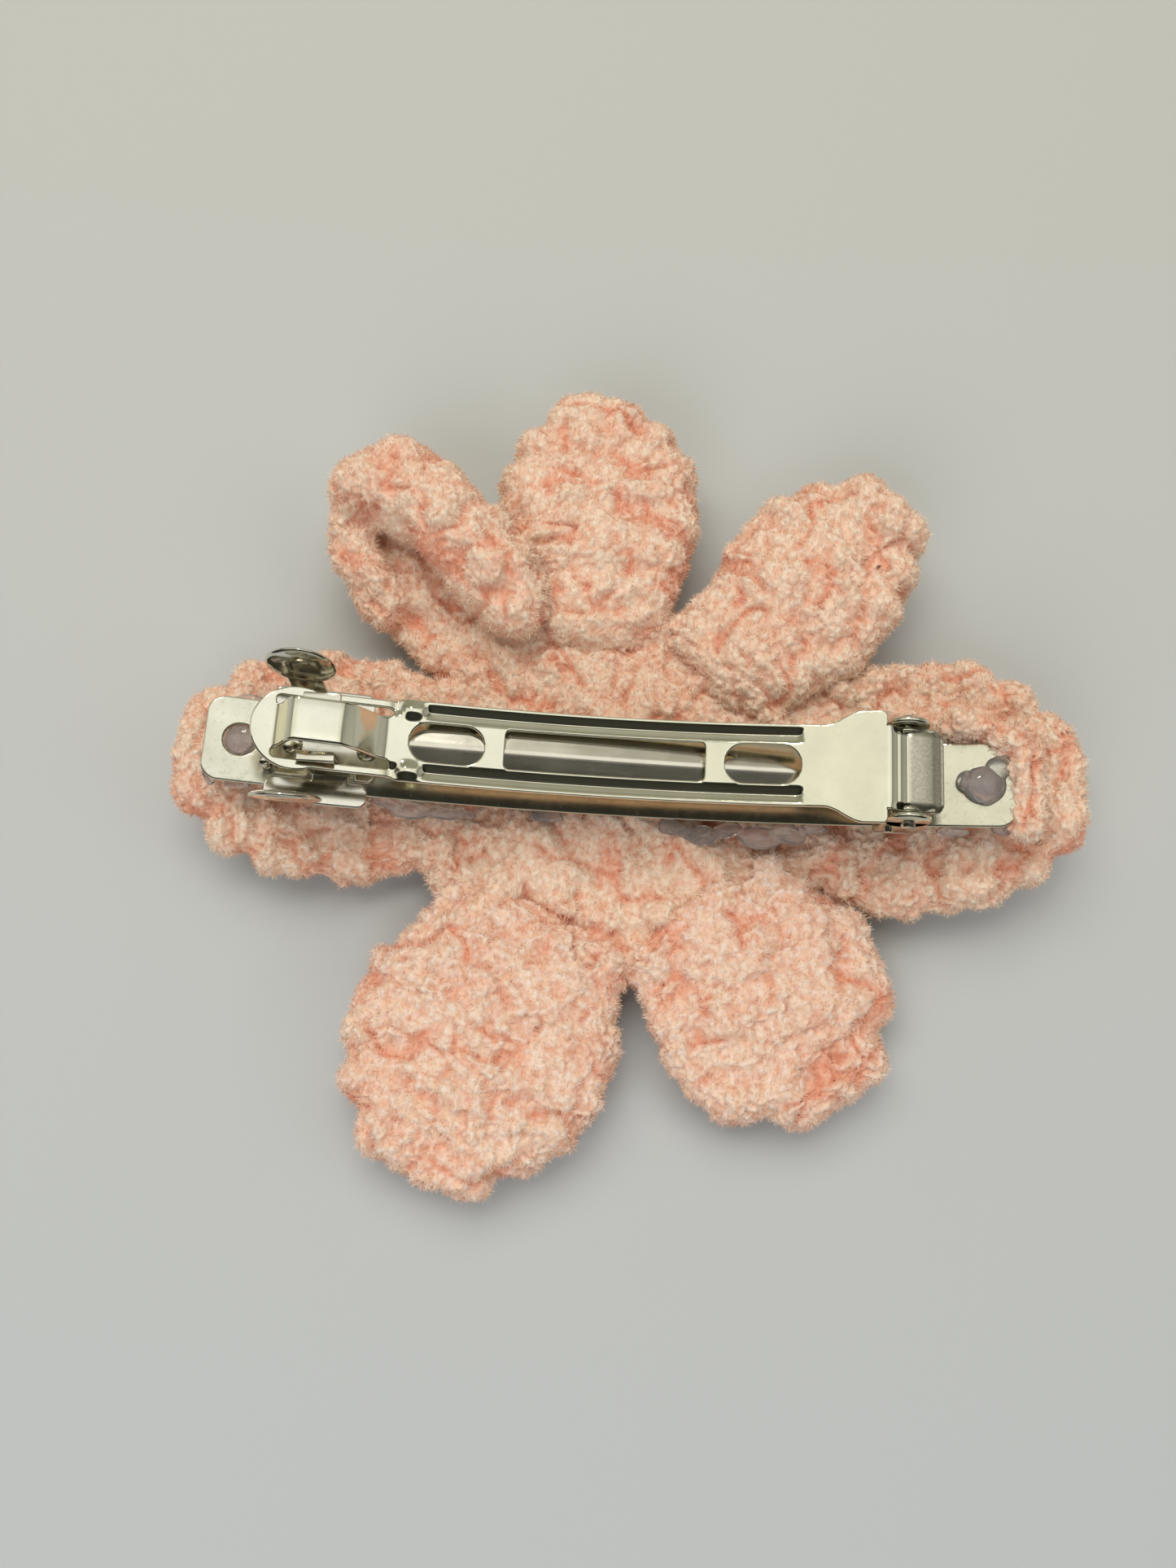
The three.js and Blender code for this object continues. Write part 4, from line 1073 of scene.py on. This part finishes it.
# ---- Table and light -----------------------------------------------------------------------------
# A matt white table top, its colour painted darker and bluer towards the front as painted light, under a
# bright ceiling, with darker parts of the room for the plating to reflect.

TABLE_HALF = 800
TABLE_Z = -0.2
corners = [(sx * TABLE_HALF, sy * TABLE_HALF, 0) for sx, sy in ((-1, -1), (1, -1), (1, 1), (-1, 1))]
table = mesh_object("table_top", corners, [(0, 1, 2, 3)])
table.location.z = TABLE_Z * MM
top = Finish("table paint", Roughness=0.75, Specular_IOR_Level=0.2)
# Painted light: the table's colour is darker and bluer towards the front, and lighter and warmer towards the
# back.
shade = (top.coordinate("Y") * 4.0 + 0.5).clamp()
top.drive("Base Color", top.mix(shade, (0.53, 0.545, 0.57), (0.575, 0.575, 0.53)))
top.bump(top.noise(1500.0, 2), 0.00003, 0.3)
table.data.materials.append(top.material)

# The camera stands 117 mm above the clip, tipped a little towards the front edge and turned a little.
camera = bpy.data.objects.new("camera", bpy.data.cameras.new("camera"))
bpy.context.scene.collection.objects.link(camera)
bpy.context.scene.camera = camera
camera.data.sensor_width = 36
camera.data.lens = 27.2
camera.data.clip_start = 0.005
LIFT = math.radians(76)
ROLL = math.radians(3.5)
DISTANCE = 117
AIM = Vector((0, 0, 14.7))
back = Vector((0, -math.cos(LIFT), math.sin(LIFT)))
level = Vector((0, math.sin(LIFT), math.cos(LIFT)))
right = Vector((1, 0, 0)) * math.cos(ROLL) + level * math.sin(ROLL)
up = level * math.cos(ROLL) - Vector((1, 0, 0)) * math.sin(ROLL)
camera.location = (AIM + back * DISTANCE - right * 2.2 - up * 2.2) * MM
turned = Matrix((right, up, back)).transposed().to_4x4()
camera.matrix_world = Matrix.Translation(camera.location) @ turned


def lamp(name, place, size, power, colour):
    """A soft rectangular lamp that shines on the flower."""
    light = bpy.data.objects.new(name, bpy.data.lights.new(name, "AREA"))
    bpy.context.scene.collection.objects.link(light)
    light.data.shape = "RECTANGLE"
    light.data.size, light.data.size_y = size
    light.data.energy = power
    light.data.color = colour
    light.location = place
    light.rotation_euler = (-Vector(place)).to_track_quat("-Z", "Y").to_euler()
    light.visible_transmission = False
    return light


lamps = [
    lamp("ceiling_window", (-0.12, 0.26, 0.62), (0.6, 0.45), 2.35, (1.0, 0.98, 0.92)),
    lamp("front_fill", (-0.2, -0.45, 0.42), (0.5, 0.4), 1.5, (0.9, 0.95, 1.0)),
    lamp("right_fill", (0.55, -0.1, 0.5), (0.4, 0.4), 0.6, (0.98, 0.98, 0.97)),
]
for light in lamps:
    light.visible_glossy = False
# A small lamp further off, which only shows as sparks on the plating and the glue.
spark = lamp("desk_lamp", (-0.07, 0.34, 0.5), (0.05, 0.05), 0.5, (1.0, 0.99, 0.96))
spark.visible_diffuse = False

world = bpy.data.worlds.new("room")
bpy.context.scene.world = world
world.use_nodes = True
room = world.node_tree
towards = put_node(room, "ShaderNodeTexCoord", {}, {}).outputs["Generated"]
split = put_node(room, "ShaderNodeSeparateXYZ", {}, {0: towards}).outputs


def room_ramp(axis, stops):
    """Brightness of the room along one axis. stops lists (place from 0 to 1, brightness, warmth)."""
    where = put_node(room, "ShaderNodeMapRange", {}, {"Value": split[axis], "From Min": -1, "From Max": 1})
    colours = [(place, (v, v * (1 - 0.03 * warm), v * (1 - 0.24 * warm), 1)) for place, v, warm in stops]
    return put_node(room, "ShaderNodeValToRGB", {"stops": colours}, {0: where.outputs[0]}).outputs[0]


from_camera_to_window = room_ramp("Y", (
    (0.0, 0.42, 0.6), (0.1, 0.32, 0.6), (0.17, 0.05, 1), (0.44, 0.02, 1), (0.5, 0.12, 1), (0.53, 1.3, 0.4),
    (0.57, 1.0, 0.6), (0.7, 1.0, 0.4), (0.76, 0.34, 1.2), (0.93, 0.3, 1.2), (1.0, 0.6, 0.6),
))
from_left_to_right = room_ramp("X", (
    (0.0, 0.5, 0), (0.12, 0.3, 0), (0.18, 0.95, 0), (0.45, 1.0, 0), (0.62, 1.14, -0.5), (0.74, 1.0, 0),
    (0.8, 0.9, 0), (0.86, 0.25, 0), (1.0, 0.5, 0),
))
settings = {"data_type": "RGBA", "blend_type": "MULTIPLY"}
both = put_node(room, "ShaderNodeMix", settings, {0: 1.0, 6: from_camera_to_window, 7: from_left_to_right})
room.links.new(both.outputs[2], room.nodes["Background"].inputs["Color"])
room.nodes["Background"].inputs["Strength"].default_value = 1.0
bpy.context.scene.view_settings.view_transform = "Standard"
